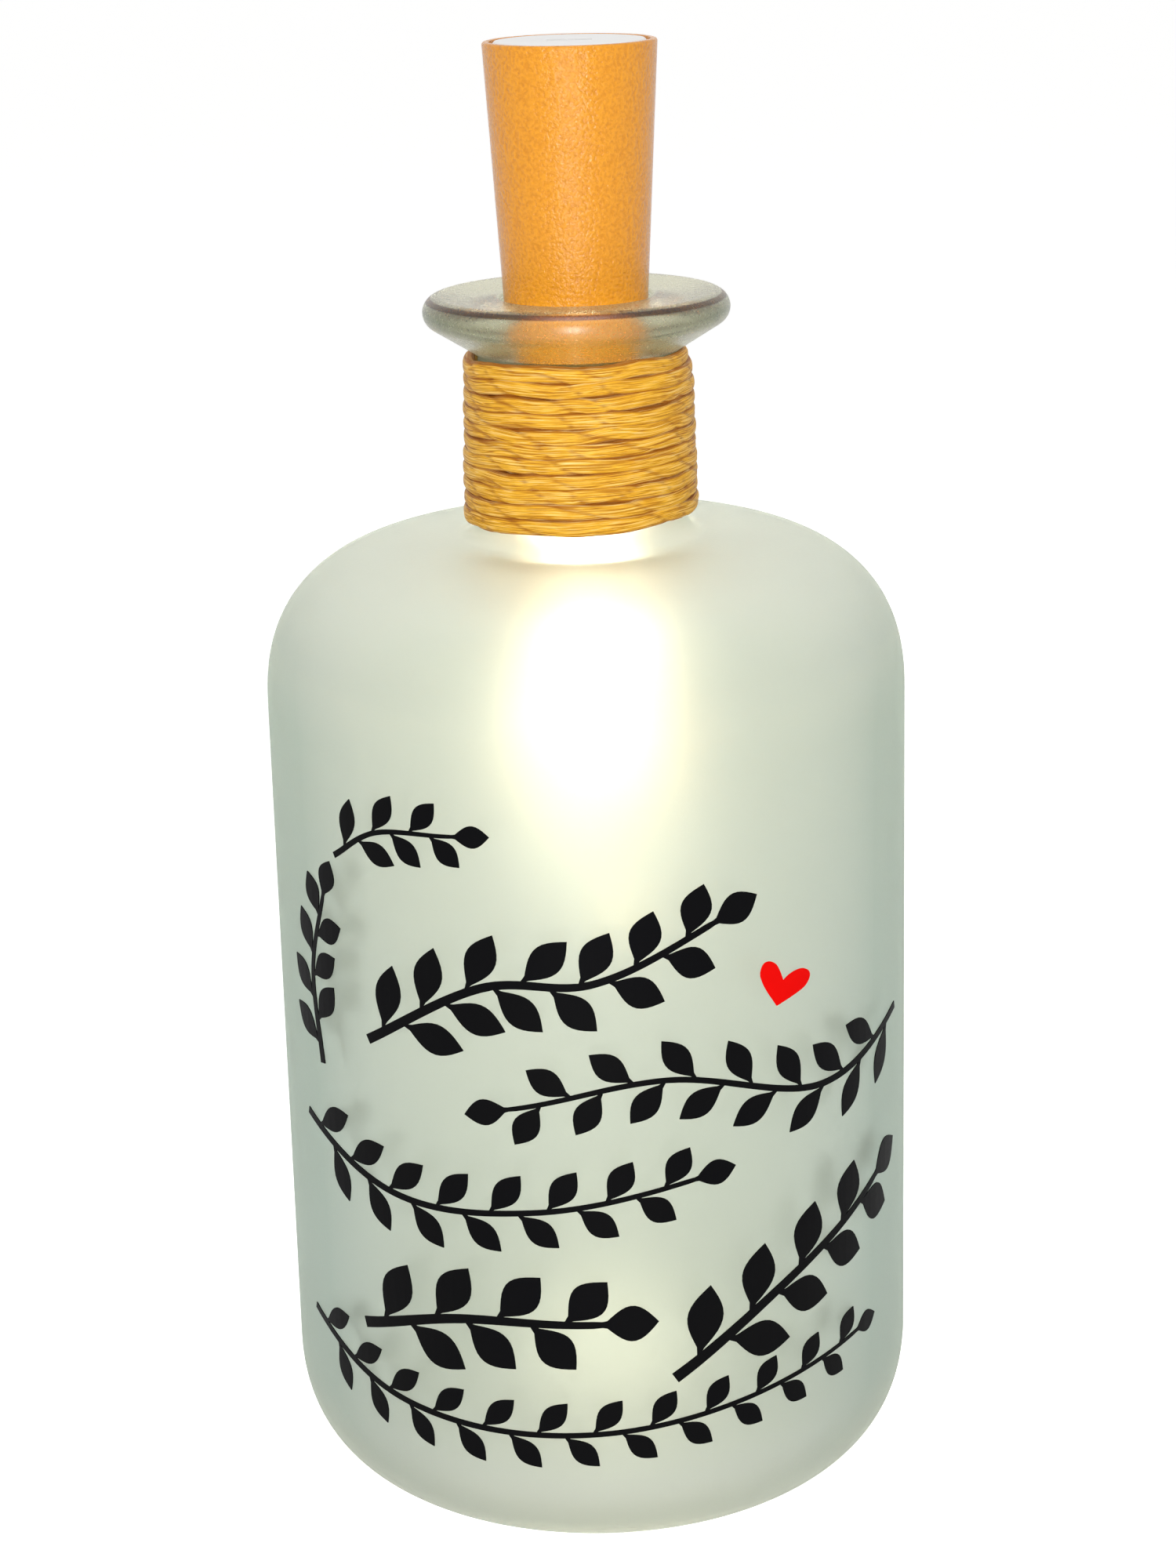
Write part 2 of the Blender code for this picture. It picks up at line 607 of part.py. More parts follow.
def twine_points():
    """The helix, with each end run out straight for a tube's diameter."""
    clear = TWINE_DIAMETER / 2 + TOUCH_GAP
    slope = LIP_UNDERCUT_ANGLE + math.pi / 2
    lip_above = GLASS_HEIGHT - LIP_DEPTH + LIP_ROOT_RISE + (clear - LIP_ROOT_FLARE) * math.tan(slope)
    top = lip_above - clear / math.cos(slope)
    points = []
    for index in range(round(TWINE_TURNS * TWINE_POINTS_PER_TURN) + 1):
        turn = index / TWINE_POINTS_PER_TURN
        height = top - TWINE_PITCH * turn
        radius = neck_radius_at(height) + clear
        angle = TWINE_START_ANGLE - FULL_TURN * turn
        points.append(Vector((radius * math.cos(angle), radius * math.sin(angle), height)))
    before = (points[0] - points[1]).normalized() * TWINE_DIAMETER
    after = (points[-1] - points[-2]).normalized() * TWINE_DIAMETER
    return [points[0] + before, *points, points[-1] + after]


def build_twine():
    points = twine_points()
    tube("neck_twine", points, TWINE_DIAMETER, 1, golden_cord)
    gap = least_gap(points, TWINE_DIAMETER, TWINE_POINTS_PER_TURN // 2)
    print(f"neck_twine: least gap to itself {gap / MM:.2f} mm")


def leaf_outline(foot, direction, length, width, corner):
    """One leaf from the first corner of its foot round its tip to the other corner."""
    side = Vector((-direction.y, direction.x))
    if side.dot(corner) < 0:
        side = -side
    first, second = [foot + corner], [foot - corner]
    for step in range(1, LEAF_POINTS):
        share = step / LEAF_POINTS
        swell = side * width / 2 * math.sin(math.pi * share**LEAF_BELLY_EXPONENT)
        first.append(foot + direction * length * share + swell)
        second.append(foot + direction * length * share - swell)
    return first + [foot + direction * length] + second[::-1]


def sprig_outline(stem, leaf, width, gap, stalk):
    """A stem with leaves on both sides and one at its tip, as one closed outline."""
    knots = [(*point, 0) for point in stem]
    route = [point.to_2d() for point in smooth_route(knots, gap / 2)]
    sides = {1: [], -1: []}
    last = len(route) - 1
    for index in range(last):
        along = (route[index + 1] - route[index]).normalized()
        across = Vector((-along.y, along.x))
        thin = stalk / 2 * (1 - STALK_TAPER_SHARE * index / last)
        if index == 0:
            sides[1].append(route[0] + across * thin)
            sides[-1].append(route[0] - across * thin)
            continue
        side = 1 if index % 2 else -1
        turn = Matrix.Rotation(side * LEAF_ANGLE, 2)
        length = leaf * (1 - LEAF_TAPER_SHARE * index / last)
        corner = -along * width * LEAF_FOOT_SHARE
        foot = route[index] + across * side * thin
        sides[side] += leaf_outline(foot, turn @ along, length, width, corner)
        sides[-side].append(route[index] - across * side * thin)
    along = (route[last] - route[last - 1]).normalized()
    corner = Vector((along.y, -along.x)) * width * LEAF_FOOT_SHARE
    tip = leaf_outline(route[last], along, leaf * TIP_LEAF_SHARE, width, corner)
    return sides[-1] + tip + sides[1][::-1]


def heart_outline(middle, width, tilt):
    """A plain heart: two lobes and a point."""
    points = []
    for step in range(HEART_POINTS):
        angle = FULL_TURN * step / HEART_POINTS
        across = 16 * math.sin(angle) ** 3
        up = 13 * math.cos(angle) - 5 * math.cos(2 * angle)
        up -= 2 * math.cos(3 * angle) + math.cos(4 * angle)
        point = Vector((across, up)) * width / 32
        points.append(Vector(middle) + Matrix.Rotation(tilt, 2) @ point)
    return points[::-1]


def wide_edges(shape):
    """Edges that reach too far round the body to lie flat on it."""
    found = []
    for edge in shape.edges:
        start, end = edge.verts
        if abs(start.co.x - end.co.x) > FILM_BEND_STEP:
            found.append(edge)
    return found


def film(name, outline, material):
    """Thin film cut to an outline and laid round the body, a gap clear of the glass."""
    flat = bpy.data.objects.new(name, flat_outline(name, [outline], FILM_THICKNESS))
    parts.objects.link(flat)
    graph = bpy.context.evaluated_depsgraph_get()
    mesh = bpy.data.meshes.new_from_object(flat.evaluated_get(graph))
    bpy.data.objects.remove(flat)
    shape = bmesh.new()
    shape.from_mesh(mesh)
    bmesh.ops.remove_doubles(shape, verts=shape.verts, dist=MERGE_DISTANCE)
    bmesh.ops.triangulate(shape, faces=shape.faces)
    wide = wide_edges(shape)
    while wide:
        bmesh.ops.subdivide_edges(shape, edges=wide, cuts=1)
        bmesh.ops.triangulate(shape, faces=shape.faces)
        wide = wide_edges(shape)
    middle = BODY_RADIUS + TOUCH_GAP + FILM_THICKNESS / 2
    for vert in shape.verts:
        angle = vert.co.x / BODY_RADIUS
        radius = middle + vert.co.z
        vert.co = (radius * math.sin(angle), -radius * math.cos(angle), vert.co.y)
    bmesh.ops.recalc_face_normals(shape, faces=shape.faces)
    if shape.calc_volume(signed=True) < 0:
        bmesh.ops.reverse_faces(shape, faces=shape.faces)
    shape.to_mesh(mesh)
    shape.free()
    mesh.materials.clear()
    add_piece(name, mesh, material)


def build_films():
    for name, sprig in SPRIGS.items():
        film(name, sprig_outline(**sprig), black_film)
    film("red_heart", heart_outline((HEART_ARC, HEART_HEIGHT), HEART_WIDTH, HEART_TILT), red_film)


def shell_radius_at(height):
    return STOPPER_BOTTOM_RADIUS + STOPPER_TAPER * (height - STOPPER_BOTTOM)


def build_stopper_shell():
    """Tapered cup with a recess for the disc, a bore for the carrier and a wire hole in its floor."""
    hole = SEAL_NECK_RADIUS + TOUCH_GAP
    inside = [
        (hole, STOPPER_BOTTOM),
        (hole, SHELL_FLOOR_TOP),
        (WIRE_CHAMBER_RADIUS, SHELL_FLOOR_TOP),
        (WIRE_CHAMBER_RADIUS, BOARD_LEDGE),
        (SHELL_BORE_RADIUS, BOARD_LEDGE),
        (SHELL_BORE_RADIUS, RECESS_FLOOR),
        (RECESS_RADIUS, RECESS_FLOOR),
        (RECESS_RADIUS, STOPPER_TOP),
    ]
    outside = [
        (STOPPER_TOP_RADIUS - STOPPER_EDGE, STOPPER_TOP),
        (shell_radius_at(STOPPER_TOP - STOPPER_EDGE), STOPPER_TOP - STOPPER_EDGE),
        (shell_radius_at(STOPPER_BOTTOM + STOPPER_EDGE), STOPPER_BOTTOM + STOPPER_EDGE),
        (STOPPER_BOTTOM_RADIUS - STOPPER_EDGE, STOPPER_BOTTOM),
    ]
    profile = [(radius, height - STOPPER_BOTTOM) for radius, height in inside + outside]
    base = (0, 0, STOPPER_BOTTOM)
    turned("cork_shell", profile, SHELL_SEGMENTS, cork_plastic, base, stopper, closed=True)


def build_seal():
    """Soft plug that grips the wires in the floor's hole."""
    boss_bottom = STOPPER_BOTTOM - SEAL_BOSS_HEIGHT
    profile = [
        (0, SEAL_TOP),
        (SEAL_FLANGE_RADIUS, SEAL_TOP),
        (SEAL_FLANGE_RADIUS, SEAL_BOTTOM),
        (SEAL_NECK_RADIUS, SEAL_BOTTOM),
        (SEAL_NECK_RADIUS, STOPPER_BOTTOM),
        (WIRE_DIAMETER, boss_bottom),
        (0, boss_bottom),
    ]
    turned("wire_seal", profile, SEAL_SEGMENTS, seal_silicone, (0, 0, 0), stopper)


def build_board():
    """Round board on the shell's ledge, with two sprung contacts above it and a resistor below."""
    rim = CARRIER_RADIUS
    profile = [(0, BOARD_TOP), (rim, BOARD_TOP), (rim, BOARD_BOTTOM), (0, BOARD_BOTTOM)]
    turned("contact_board", profile, SEAL_SEGMENTS, board_green, (0, 0, 0), stopper)
    foot = BOARD_TOP + TOUCH_GAP + STRIP_THICKNESS / 2
    crown = BOARD_TOP + TOUCH_GAP + BOARD_CONTACT_HEIGHT - STRIP_THICKNESS / 2
    for name, side in (("board_contact_positive", 1), ("board_contact_negative", -1)):
        near = side * BOARD_CONTACT_OFFSET
        far = side * (BOARD_CONTACT_OFFSET + BOARD_CONTACT_REACH)
        bend = far - side * STRIP_WIDTH
        path = [(far, foot), (near, foot), (near, (foot + crown) / 2), (bend, crown), (far, crown)]
        bent_strip(name, path, CONTACT_WIDTH, "YZ", (0, 0, 0), stopper)
    top = BOARD_BOTTOM - TOUCH_GAP
    low = (-RESISTOR_OFFSET - RESISTOR_WIDTH / 2, -RESISTOR_LENGTH / 2, top - RESISTOR_HEIGHT)
    high = (-RESISTOR_OFFSET + RESISTOR_WIDTH / 2, RESISTOR_LENGTH / 2, top)
    block("series_resistor", low, high, RESISTOR_EDGE, resistor_black, stopper)
    low_end = SEAL_TOP + TOUCH_GAP
    points = []
    for across, up in INNER_LEAD_SHARES:
        points.append((INNER_LEAD_OFFSET * across, 0, low_end + (top - low_end) * up))
    route = smooth_route(points, WIRE_DIAMETER)
    tube("inner_lead", route, WIRE_DIAMETER, WIRE_BEVEL_RESOLUTION, copper_wire, stopper)


def hank_points():
    """Loops that wind in through the front layer, climb along one run and wind out through the back one."""
    middle_turn = HANK_LOOPS / 2
    quarter = HANK_RUN_SHARE
    points = []
    for index in range(round(HANK_LOOPS * HANK_POINTS_PER_LOOP) + 1):
        turn = index / HANK_POINTS_PER_LOOP
        reach = max(0, abs(turn - middle_turn) - quarter / 2)
        half_width = HANK_FOLD_RADIUS + HANK_LOOP_STEP * reach
        climb = max(0, min(1, (turn - middle_turn) / quarter + 0.5))
        layer = HANK_LAYER_STEP * (climb - 0.5)
        part, share = divmod(turn % 1 / quarter, 1)
        side = 1 if part < 2 else -1
        if part % 2:
            angle = math.pi * share
            across = side * half_width * math.cos(angle)
            height = HANK_MIDDLE - side * (HANK_RUN_LENGTH / 2 + half_width * math.sin(angle))
        else:
            waist = 1 - (1 - HANK_WAIST_SHARE) * math.sin(math.pi * share) ** 2
            across = side * half_width * waist
            height = HANK_MIDDLE + side * HANK_RUN_LENGTH * (0.5 - share)
        points.append(Vector((across, layer, height)))
    return points


def build_string():
    """Wire from the seal, through the hank, to its last drop."""
    lead = smooth_route(LEAD_POINTS, WIRE_POINT_SPACING)
    hank = hank_points()
    tail = smooth_route(TAIL_POINTS, WIRE_POINT_SPACING)
    for name, route, resolution in (
        ("led_wire_lead", lead, WIRE_BEVEL_RESOLUTION),
        ("led_wire_hank", hank, 1),
        ("led_wire_tail", tail, WIRE_BEVEL_RESOLUTION),
    ):
        tube(name, route, WIRE_DIAMETER, resolution, copper_wire, stopper)
    gap = least_gap(hank, WIRE_DIAMETER, HANK_POINTS_PER_LOOP // 3)
    print(f"led_wire_hank: least gap to itself {gap / MM:.2f} mm")
    route = [*lead, *hank, *tail]
    lengths = lengths_along(route)
    print(f"light string: {lengths[-1] / MM:.0f} mm of wire, lowest at {tail[-1].z / MM:.1f} mm")
    for number in range(1, DROP_COUNT + 1):
        build_drop(f"led_drop_{number:02d}", route, lengths, number)


def build_drop(name, route, lengths, number):
    """A clear bead beside the wire, on the outer face of its layer. The last one caps the wire's end."""
    point, along = point_at(route, lengths, DROP_SPACING * number)
    outward = math.copysign(WIRE_DIAMETER / 2 + TOUCH_GAP + DROP_RADIUS, point.y)
    middle = point + Vector((0, outward, 0))
    if number == DROP_COUNT:
        along = (route[-1] - route[-2]).normalized()
        middle = route[-1] + along * (TOUCH_GAP + DROP_LENGTH / 2)
    shape = bmesh.new()
    bmesh.ops.create_uvsphere(shape, u_segments=8, v_segments=5, radius=1)
    bmesh.ops.scale(shape, vec=(DROP_RADIUS, DROP_RADIUS, DROP_LENGTH / 2), verts=shape.verts)
    turn = Vector((0, 0, 1)).rotation_difference(along).to_matrix()
    bmesh.ops.rotate(shape, cent=(0, 0, 0), matrix=turn, verts=shape.verts)
    mesh = bpy.data.meshes.new(name)
    shape.to_mesh(mesh)
    shape.free()
    smooth(add_piece(name, mesh, warm_drop, middle, stopper))


def build_tie():
    """Twist tie round the hank, a flat band."""
    outer_run = HANK_WIDEST * HANK_WAIST_SHARE
    inner_depth = (HANK_LAYER_STEP + WIRE_DIAMETER) / 2 + TOUCH_GAP
    rings = []
    for grow in (TIE_THICKNESS, 0):
        radius = inner_depth + grow
        right = arc((outer_run, 0), radius, -math.pi / 2, math.pi / 2, 6)
        left = arc((-outer_run, 0), radius, math.pi / 2, 3 * math.pi / 2, 6)
        rings.append(right + left)
    band = flat_outline("hank_tie", rings, TIE_HEIGHT)
    add_piece("hank_tie", band, tie_white, (0, 0, HANK_MIDDLE - TIE_DROP), stopper)


def build_carrier():
    """White disc and trough in one moulding, open towards -Y for the cells and the switch parts."""
    disc = [
        (0, DISC_TOP),
        (DISC_RADIUS - DISC_EDGE, DISC_TOP),
        (DISC_RADIUS, DISC_TOP - DISC_EDGE),
        (DISC_RADIUS, DISC_BOTTOM),
        (CARRIER_RADIUS, DISC_BOTTOM),
        (CARRIER_RADIUS, CARRIER_BOTTOM),
        (0, CARRIER_BOTTOM),
    ]
    profile = [(radius, height - DISC_TOP) for radius, height in disc]
    carrier = turned("cell_carrier", profile, CARRIER_SEGMENTS, white_plastic, (0, 0, DISC_TOP), cartridge)
    front = -CARRIER_RADIUS - CUT_OVERRUN
    mouth = CELL_RADIUS + BAY_MOUTH_CLEARANCE
    slot_half = (KNOB_LENGTH + SWITCH_TRAVEL) / 2 + TOUCH_GAP
    slot_side = KNOB_WIDTH / 2 + TOUCH_GAP
    strip_left = STRIP_PAD_PLACE - STRIP_HALF_SLOT
    strip_right = STRIP_PAD_PLACE + STRIP_HALF_SLOT
    outside = CARRIER_RADIUS + CUT_OVERRUN
    bay = round_cutter("cell_bay", CARRIER_INNER_RADIUS, CELL_BAY_BOTTOM, CELL_BAY_TOP, CARRIER_SEGMENTS)
    cut(carrier, bay)
    openings = {
        "cell_mouth": ((-mouth, front, CELL_BAY_BOTTOM), (mouth, -BAY_LIP_DEPTH, CELL_BAY_TOP)),
        "switch_bay": (
            (-SWITCH_BAY_HALF_LENGTH, front, SWITCH_BAY_FLOOR),
            (SWITCH_BAY_HALF_LENGTH, SWITCH_BAY_BACK, DISC_BOTTOM),
        ),
        "knob_slot": (
            (-slot_half, -slot_side, DISC_BOTTOM - CUT_OVERRUN),
            (slot_half, slot_side, DISC_TOP + CUT_OVERRUN),
        ),
        "strip_groove": (
            (strip_left, CARRIER_INNER_RADIUS, CARRIER_BOTTOM - CUT_OVERRUN),
            (strip_right, outside, CELL_BAY_TOP + CARRIER_PLATE / 2),
        ),
        "strip_notch": (
            (strip_left, SWITCH_BAY_BACK - CUT_OVERRUN, CELL_BAY_TOP - CUT_OVERRUN),
            (strip_right, outside, CONTACT_PAD_TOP + TOUCH_GAP),
        ),
        "contact_leg_slot": (
            (LEG_PLACE - LEG_HALF_SLOT, -CONTACT_HALF_SLOT, CELL_BAY_TOP - CUT_OVERRUN),
            (LEG_PLACE + LEG_HALF_SLOT, CONTACT_HALF_SLOT, SWITCH_BAY_FLOOR + CUT_OVERRUN),
        ),
        "spring_leg_slot": (
            (-CONTACT_HALF_SLOT, SPRING_LEG_PLACE - LEG_HALF_SLOT, CARRIER_BOTTOM - CUT_OVERRUN),
            (CONTACT_HALF_SLOT, SPRING_LEG_PLACE + LEG_HALF_SLOT, CELL_BAY_BOTTOM + CUT_OVERRUN),
        ),
    }
    for name, (low, high) in openings.items():
        cut(carrier, block(name, low, high))


def build_contacts():
    """The three strips that lead the current through the carrier."""
    here = (0, 0, 0)
    pad = CONTACT_PAD_TOP - STRIP_THICKNESS / 2
    arm = CELL_BAY_TOP - TOUCH_GAP - STRIP_THICKNESS / 2
    path = [(-CELL_RADIUS / 2, arm), (LEG_PLACE, arm), (LEG_PLACE, pad), (LEG_PLACE - CONTACT_WIDTH, pad)]
    bent_strip("positive_contact", path, CONTACT_WIDTH, "XZ", here, cartridge)
    back = CARRIER_INNER_RADIUS + TOUCH_GAP + STRIP_THICKNESS / 2
    foot = FOOT_BOTTOM + STRIP_THICKNESS / 2
    path = [(-STRIP_WIDTH, pad), (back, pad), (back, foot), (BOARD_CONTACT_OFFSET, foot)]
    bent_strip("side_strip", path, STRIP_WIDTH, "YZ", (STRIP_PAD_PLACE, 0, 0), cartridge)
    leaf = CELL_BAY_BOTTOM + TOUCH_GAP + STRIP_THICKNESS / 2
    crest = CELL_BAY_BOTTOM + SPRING_LEAF_RISE
    path = [
        (-BOARD_CONTACT_OFFSET - BOARD_CONTACT_REACH, foot),
        (SPRING_LEG_PLACE, foot),
        (SPRING_LEG_PLACE, leaf),
        (0, crest),
        (CELL_RADIUS / 2, leaf),
    ]
    bent_strip("battery_spring", path, CONTACT_WIDTH, "YZ", here, cartridge)


def build_cells():
    """Each button cell is a crimped can, a gasket and a cap. The caps face down, towards the spring."""
    crimp = CELL_RADIUS - CELL_CRIMP_WIDTH
    gasket = crimp - TOUCH_GAP
    floor = CELL_CAN_WALL + TOUCH_GAP
    can = [
        (0, -CELL_CAN_WALL),
        (CELL_RADIUS - CELL_CAN_WALL, -CELL_CAN_WALL),
        (CELL_RADIUS - CELL_CAN_WALL, CELL_CAN_WALL - CELL_CAN_HEIGHT),
        (crimp, CELL_CAN_WALL - CELL_CAN_HEIGHT),
        (crimp, -CELL_CAN_HEIGHT),
        (CELL_RADIUS - CELL_EDGE, -CELL_CAN_HEIGHT),
        (CELL_RADIUS, CELL_EDGE - CELL_CAN_HEIGHT),
        (CELL_RADIUS, -CELL_EDGE),
        (CELL_RADIUS - CELL_EDGE, 0),
        (0, 0),
    ]
    ring = [
        (gasket - GASKET_WALL, -CELL_CAN_HEIGHT - TOUCH_GAP / 2),
        (gasket - GASKET_WALL, -floor),
        (gasket, -floor),
        (gasket, -CELL_CAN_HEIGHT - TOUCH_GAP / 2),
    ]
    cap_radius = gasket - GASKET_WALL - TOUCH_GAP
    cap = [
        (0, -floor),
        (cap_radius, -floor),
        (cap_radius, CELL_EDGE - CELL_HEIGHT),
        (cap_radius - CELL_EDGE, -CELL_HEIGHT),
        (0, -CELL_HEIGHT),
    ]
    for number in range(1, CELL_COUNT + 1):
        top = CELL_BAY_TOP - TOP_CONTACT_SPACE - CELL_PITCH * (number - 1)
        place_at = (0, 0, top)
        turned(f"cell_can_{number}", can[::-1], CELL_SEGMENTS, cell_steel, place_at, cartridge)
        turned(f"cell_gasket_{number}", ring, CELL_SEGMENTS, cell_gasket, place_at, cartridge, closed=True)
        turned(f"cell_cap_{number}", cap, CELL_SEGMENTS, cell_steel, place_at, cartridge)


def build_switch():
    """Knob in the disc's slot and the crowned wiper under it, at the end of travel that is on."""
    rest = SWITCH_TRAVEL / 2
    flange_top = DISC_BOTTOM - TOUCH_GAP
    flange_bottom = flange_top - KNOB_FLANGE_HEIGHT
    low = (rest - KNOB_LENGTH / 2, -KNOB_WIDTH / 2, flange_bottom + KNOB_EDGE)
    high = (rest + KNOB_LENGTH / 2, KNOB_WIDTH / 2, DISC_TOP - KNOB_SINK)
    knob = block("switch_knob", low, high, KNOB_EDGE, black_plastic, slider)
    low = (rest - KNOB_FLANGE_LENGTH / 2, -KNOB_FLANGE_WIDTH / 2, flange_bottom)
    high = (rest + KNOB_FLANGE_LENGTH / 2, KNOB_FLANGE_WIDTH / 2, flange_top)
    combine(knob, block("knob_flange", low, high), "UNION")
    crown = flange_bottom - TOUCH_GAP - STRIP_THICKNESS / 2
    shoe = CONTACT_PAD_TOP + TOUCH_GAP + STRIP_THICKNESS / 2
    reach = WIPER_LENGTH / 2
    half = [(WIPER_CREST, crown), (reach - WIPER_CREST, shoe), (reach, shoe + WIPER_CREST)]
    path = [(-across, height) for across, height in half[::-1]] + half
    bent_strip("switch_wiper", path, WIPER_WIDTH, "XZ", (rest, 0, 0), slider)


build_bottle()
build_twine()
build_films()
build_stopper_shell()
build_seal()
build_board()
build_string()
build_tie()
build_carrier()
build_contacts()
build_cells()
build_switch()
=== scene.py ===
import math

import bmesh
import bpy
from mathutils import Matrix, Vector, noise


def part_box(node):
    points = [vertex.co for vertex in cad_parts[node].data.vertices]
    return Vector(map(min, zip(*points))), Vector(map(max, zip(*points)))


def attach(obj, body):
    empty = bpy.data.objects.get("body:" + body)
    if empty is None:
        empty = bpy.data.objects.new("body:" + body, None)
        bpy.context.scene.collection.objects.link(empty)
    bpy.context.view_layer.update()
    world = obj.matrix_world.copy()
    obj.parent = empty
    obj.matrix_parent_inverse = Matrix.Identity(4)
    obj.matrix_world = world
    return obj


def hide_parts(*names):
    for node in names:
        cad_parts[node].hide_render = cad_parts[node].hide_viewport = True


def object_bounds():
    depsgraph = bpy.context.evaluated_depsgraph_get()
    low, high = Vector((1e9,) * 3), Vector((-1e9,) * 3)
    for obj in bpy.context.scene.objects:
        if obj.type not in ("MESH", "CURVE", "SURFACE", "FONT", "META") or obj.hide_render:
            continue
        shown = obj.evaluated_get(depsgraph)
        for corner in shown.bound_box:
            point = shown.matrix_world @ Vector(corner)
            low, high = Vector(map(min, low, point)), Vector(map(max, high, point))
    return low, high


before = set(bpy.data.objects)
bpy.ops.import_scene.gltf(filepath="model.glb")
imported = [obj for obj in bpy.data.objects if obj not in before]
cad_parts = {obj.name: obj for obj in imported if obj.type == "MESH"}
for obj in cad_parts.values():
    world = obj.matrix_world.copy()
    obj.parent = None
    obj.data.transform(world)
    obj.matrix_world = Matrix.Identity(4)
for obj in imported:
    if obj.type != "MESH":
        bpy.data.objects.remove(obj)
cad_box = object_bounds()

# Camera: 0.42 m in front of the bottle's axis, a little above the stopper, aimed 17 degrees down and
# rolled by 1.5. Its place, its lens and its turn were solved from the outline of the glass, the cord
# and the stopper.
MM = 0.001
EYE = Vector((0.0, -421.565, 219.009)) * MM
LOOK_DOWN = 0.2896247
LOOK_ASIDE = -0.000187
ROLL = -0.025918
LENS, SENSOR_WIDTH = 76.997, 36.0
NEAREST_SEEN = 10 * MM

forward = Vector((
    math.sin(LOOK_ASIDE) * math.cos(LOOK_DOWN),
    math.cos(LOOK_ASIDE) * math.cos(LOOK_DOWN),
    -math.sin(LOOK_DOWN),
))
level = Vector((math.cos(LOOK_ASIDE), -math.sin(LOOK_ASIDE), 0.0))
upright = level.cross(forward)
right = level * math.cos(ROLL) + upright * math.sin(ROLL)
above = upright * math.cos(ROLL) - level * math.sin(ROLL)
camera_data = bpy.data.cameras.new("camera")
camera_data.lens = LENS
camera_data.sensor_width = SENSOR_WIDTH
camera_data.clip_start = NEAREST_SEEN
camera = bpy.data.objects.new("camera", camera_data)
bpy.context.scene.collection.objects.link(camera)
camera.matrix_world = Matrix.Translation(EYE) @ Matrix((right, above, -forward)).transposed().to_4x4()
bpy.context.scene.camera = camera
bpy.context.scene.view_settings.view_transform = "Standard"

# Studio: white air all round, a pale floor, and soft lights at the camera, on each side and above.
# What the camera, a gloss or the glass sees of the air is plain white, and less of it lights the object.
AIR_LIGHT = 0.37
FLOOR_HALF = 8.0
FLOOR_COLOUR = (0.9, 0.9, 0.89, 1.0)
FLOOR_LIFT = 0.64
WHITE = (1.0, 1.0, 1.0, 1.0)


def feed(node, feeds):
    """Feeds sockets of a node, each with a number, a colour or another node's output."""
    for socket, value in feeds.items():
        if isinstance(value, bpy.types.NodeSocket):
            node.id_data.links.new(value, node.inputs[socket])
        else:
            node.inputs[socket].default_value = value


def add_node(tree, kind, feeds, **settings):
    """Adds a node to a tree, with its settings and with what feeds its sockets."""
    node = tree.nodes.new(kind)
    for setting, value in settings.items():
        setattr(node, setting, value)
    feed(node, feeds)
    return node


def seen_ray(tree):
    """One where a ray comes from the camera, a gloss or a pass through glass, else zero."""
    path = tree.nodes.new("ShaderNodeLightPath")
    seen = path.outputs["Is Camera Ray"]
    for ray in ("Is Glossy Ray", "Is Transmission Ray"):
        either = add_node(tree, "ShaderNodeMath", {0: seen, 1: path.outputs[ray]}, operation="MAXIMUM")
        seen = either.outputs[0]
    return seen


world = bpy.data.worlds.new("studio_air")
world.use_nodes = True
bpy.context.scene.world = world
air = world.node_tree
lighting = air.nodes["Background"]
feed(lighting, {"Strength": AIR_LIGHT, "Color": WHITE})
white = add_node(air, "ShaderNodeBackground", {"Color": WHITE})
choice = add_node(air, "ShaderNodeMixShader", {
    0: seen_ray(air), 1: lighting.outputs[0], 2: white.outputs[0],
})
feed(air.nodes["World Output"], {"Surface": choice.outputs[0]})

floor_shape = bmesh.new()
bmesh.ops.create_grid(floor_shape, x_segments=1, y_segments=1, size=FLOOR_HALF)
bmesh.ops.translate(floor_shape, vec=(0, 0, cad_box[0].z), verts=floor_shape.verts)
floor_mesh = bpy.data.meshes.new("studio_floor")
floor_shape.to_mesh(floor_mesh)
floor_shape.free()
floor = bpy.data.objects.new("studio_floor", floor_mesh)
bpy.context.scene.collection.objects.link(floor)
floor_paint = bpy.data.materials.new("studio_paper")
floor_paint.use_nodes = True
paper = floor_paint.node_tree
lift = add_node(paper, "ShaderNodeMath", {0: seen_ray(paper), 1: FLOOR_LIFT}, operation="MULTIPLY")
feed(paper.nodes["Principled BSDF"], {
    "Base Color": FLOOR_COLOUR, "Roughness": 0.9, "Specular IOR Level": 0.1,
    "Emission Color": WHITE, "Emission Strength": lift.outputs[0],
})
floor_mesh.materials.append(floor_paint)


def soft_light(name, place, aim, width, height, power):
    """A soft box that looks at a point of the object."""
    data = bpy.data.lights.new(name, "AREA")
    data.shape = "RECTANGLE"
    data.size = width
    data.size_y = height
    data.energy = power
    lamp = bpy.data.objects.new(name, data)
    lamp.visible_transmission = False
    bpy.context.scene.collection.objects.link(lamp)
    towards = (Vector(aim) - Vector(place)).normalized()
    lamp.matrix_world = Matrix.Translation(place) @ towards.to_track_quat("-Z", "Y").to_matrix().to_4x4()


soft_light("front_light", (-0.02, -0.50, 0.19), (0, 0, 0.13), 0.08, 0.36, 1.65)
soft_light("left_light", (-0.62, -0.22, 0.42), (0, 0, 0.09), 0.45, 0.45, 0.28)
soft_light("right_light", (0.62, -0.22, 0.42), (0, 0, 0.09), 0.45, 0.45, 0.35)
soft_light("top_light", (0.0, -0.12, 0.75), (0, 0, 0.15), 0.30, 0.30, 1.2)

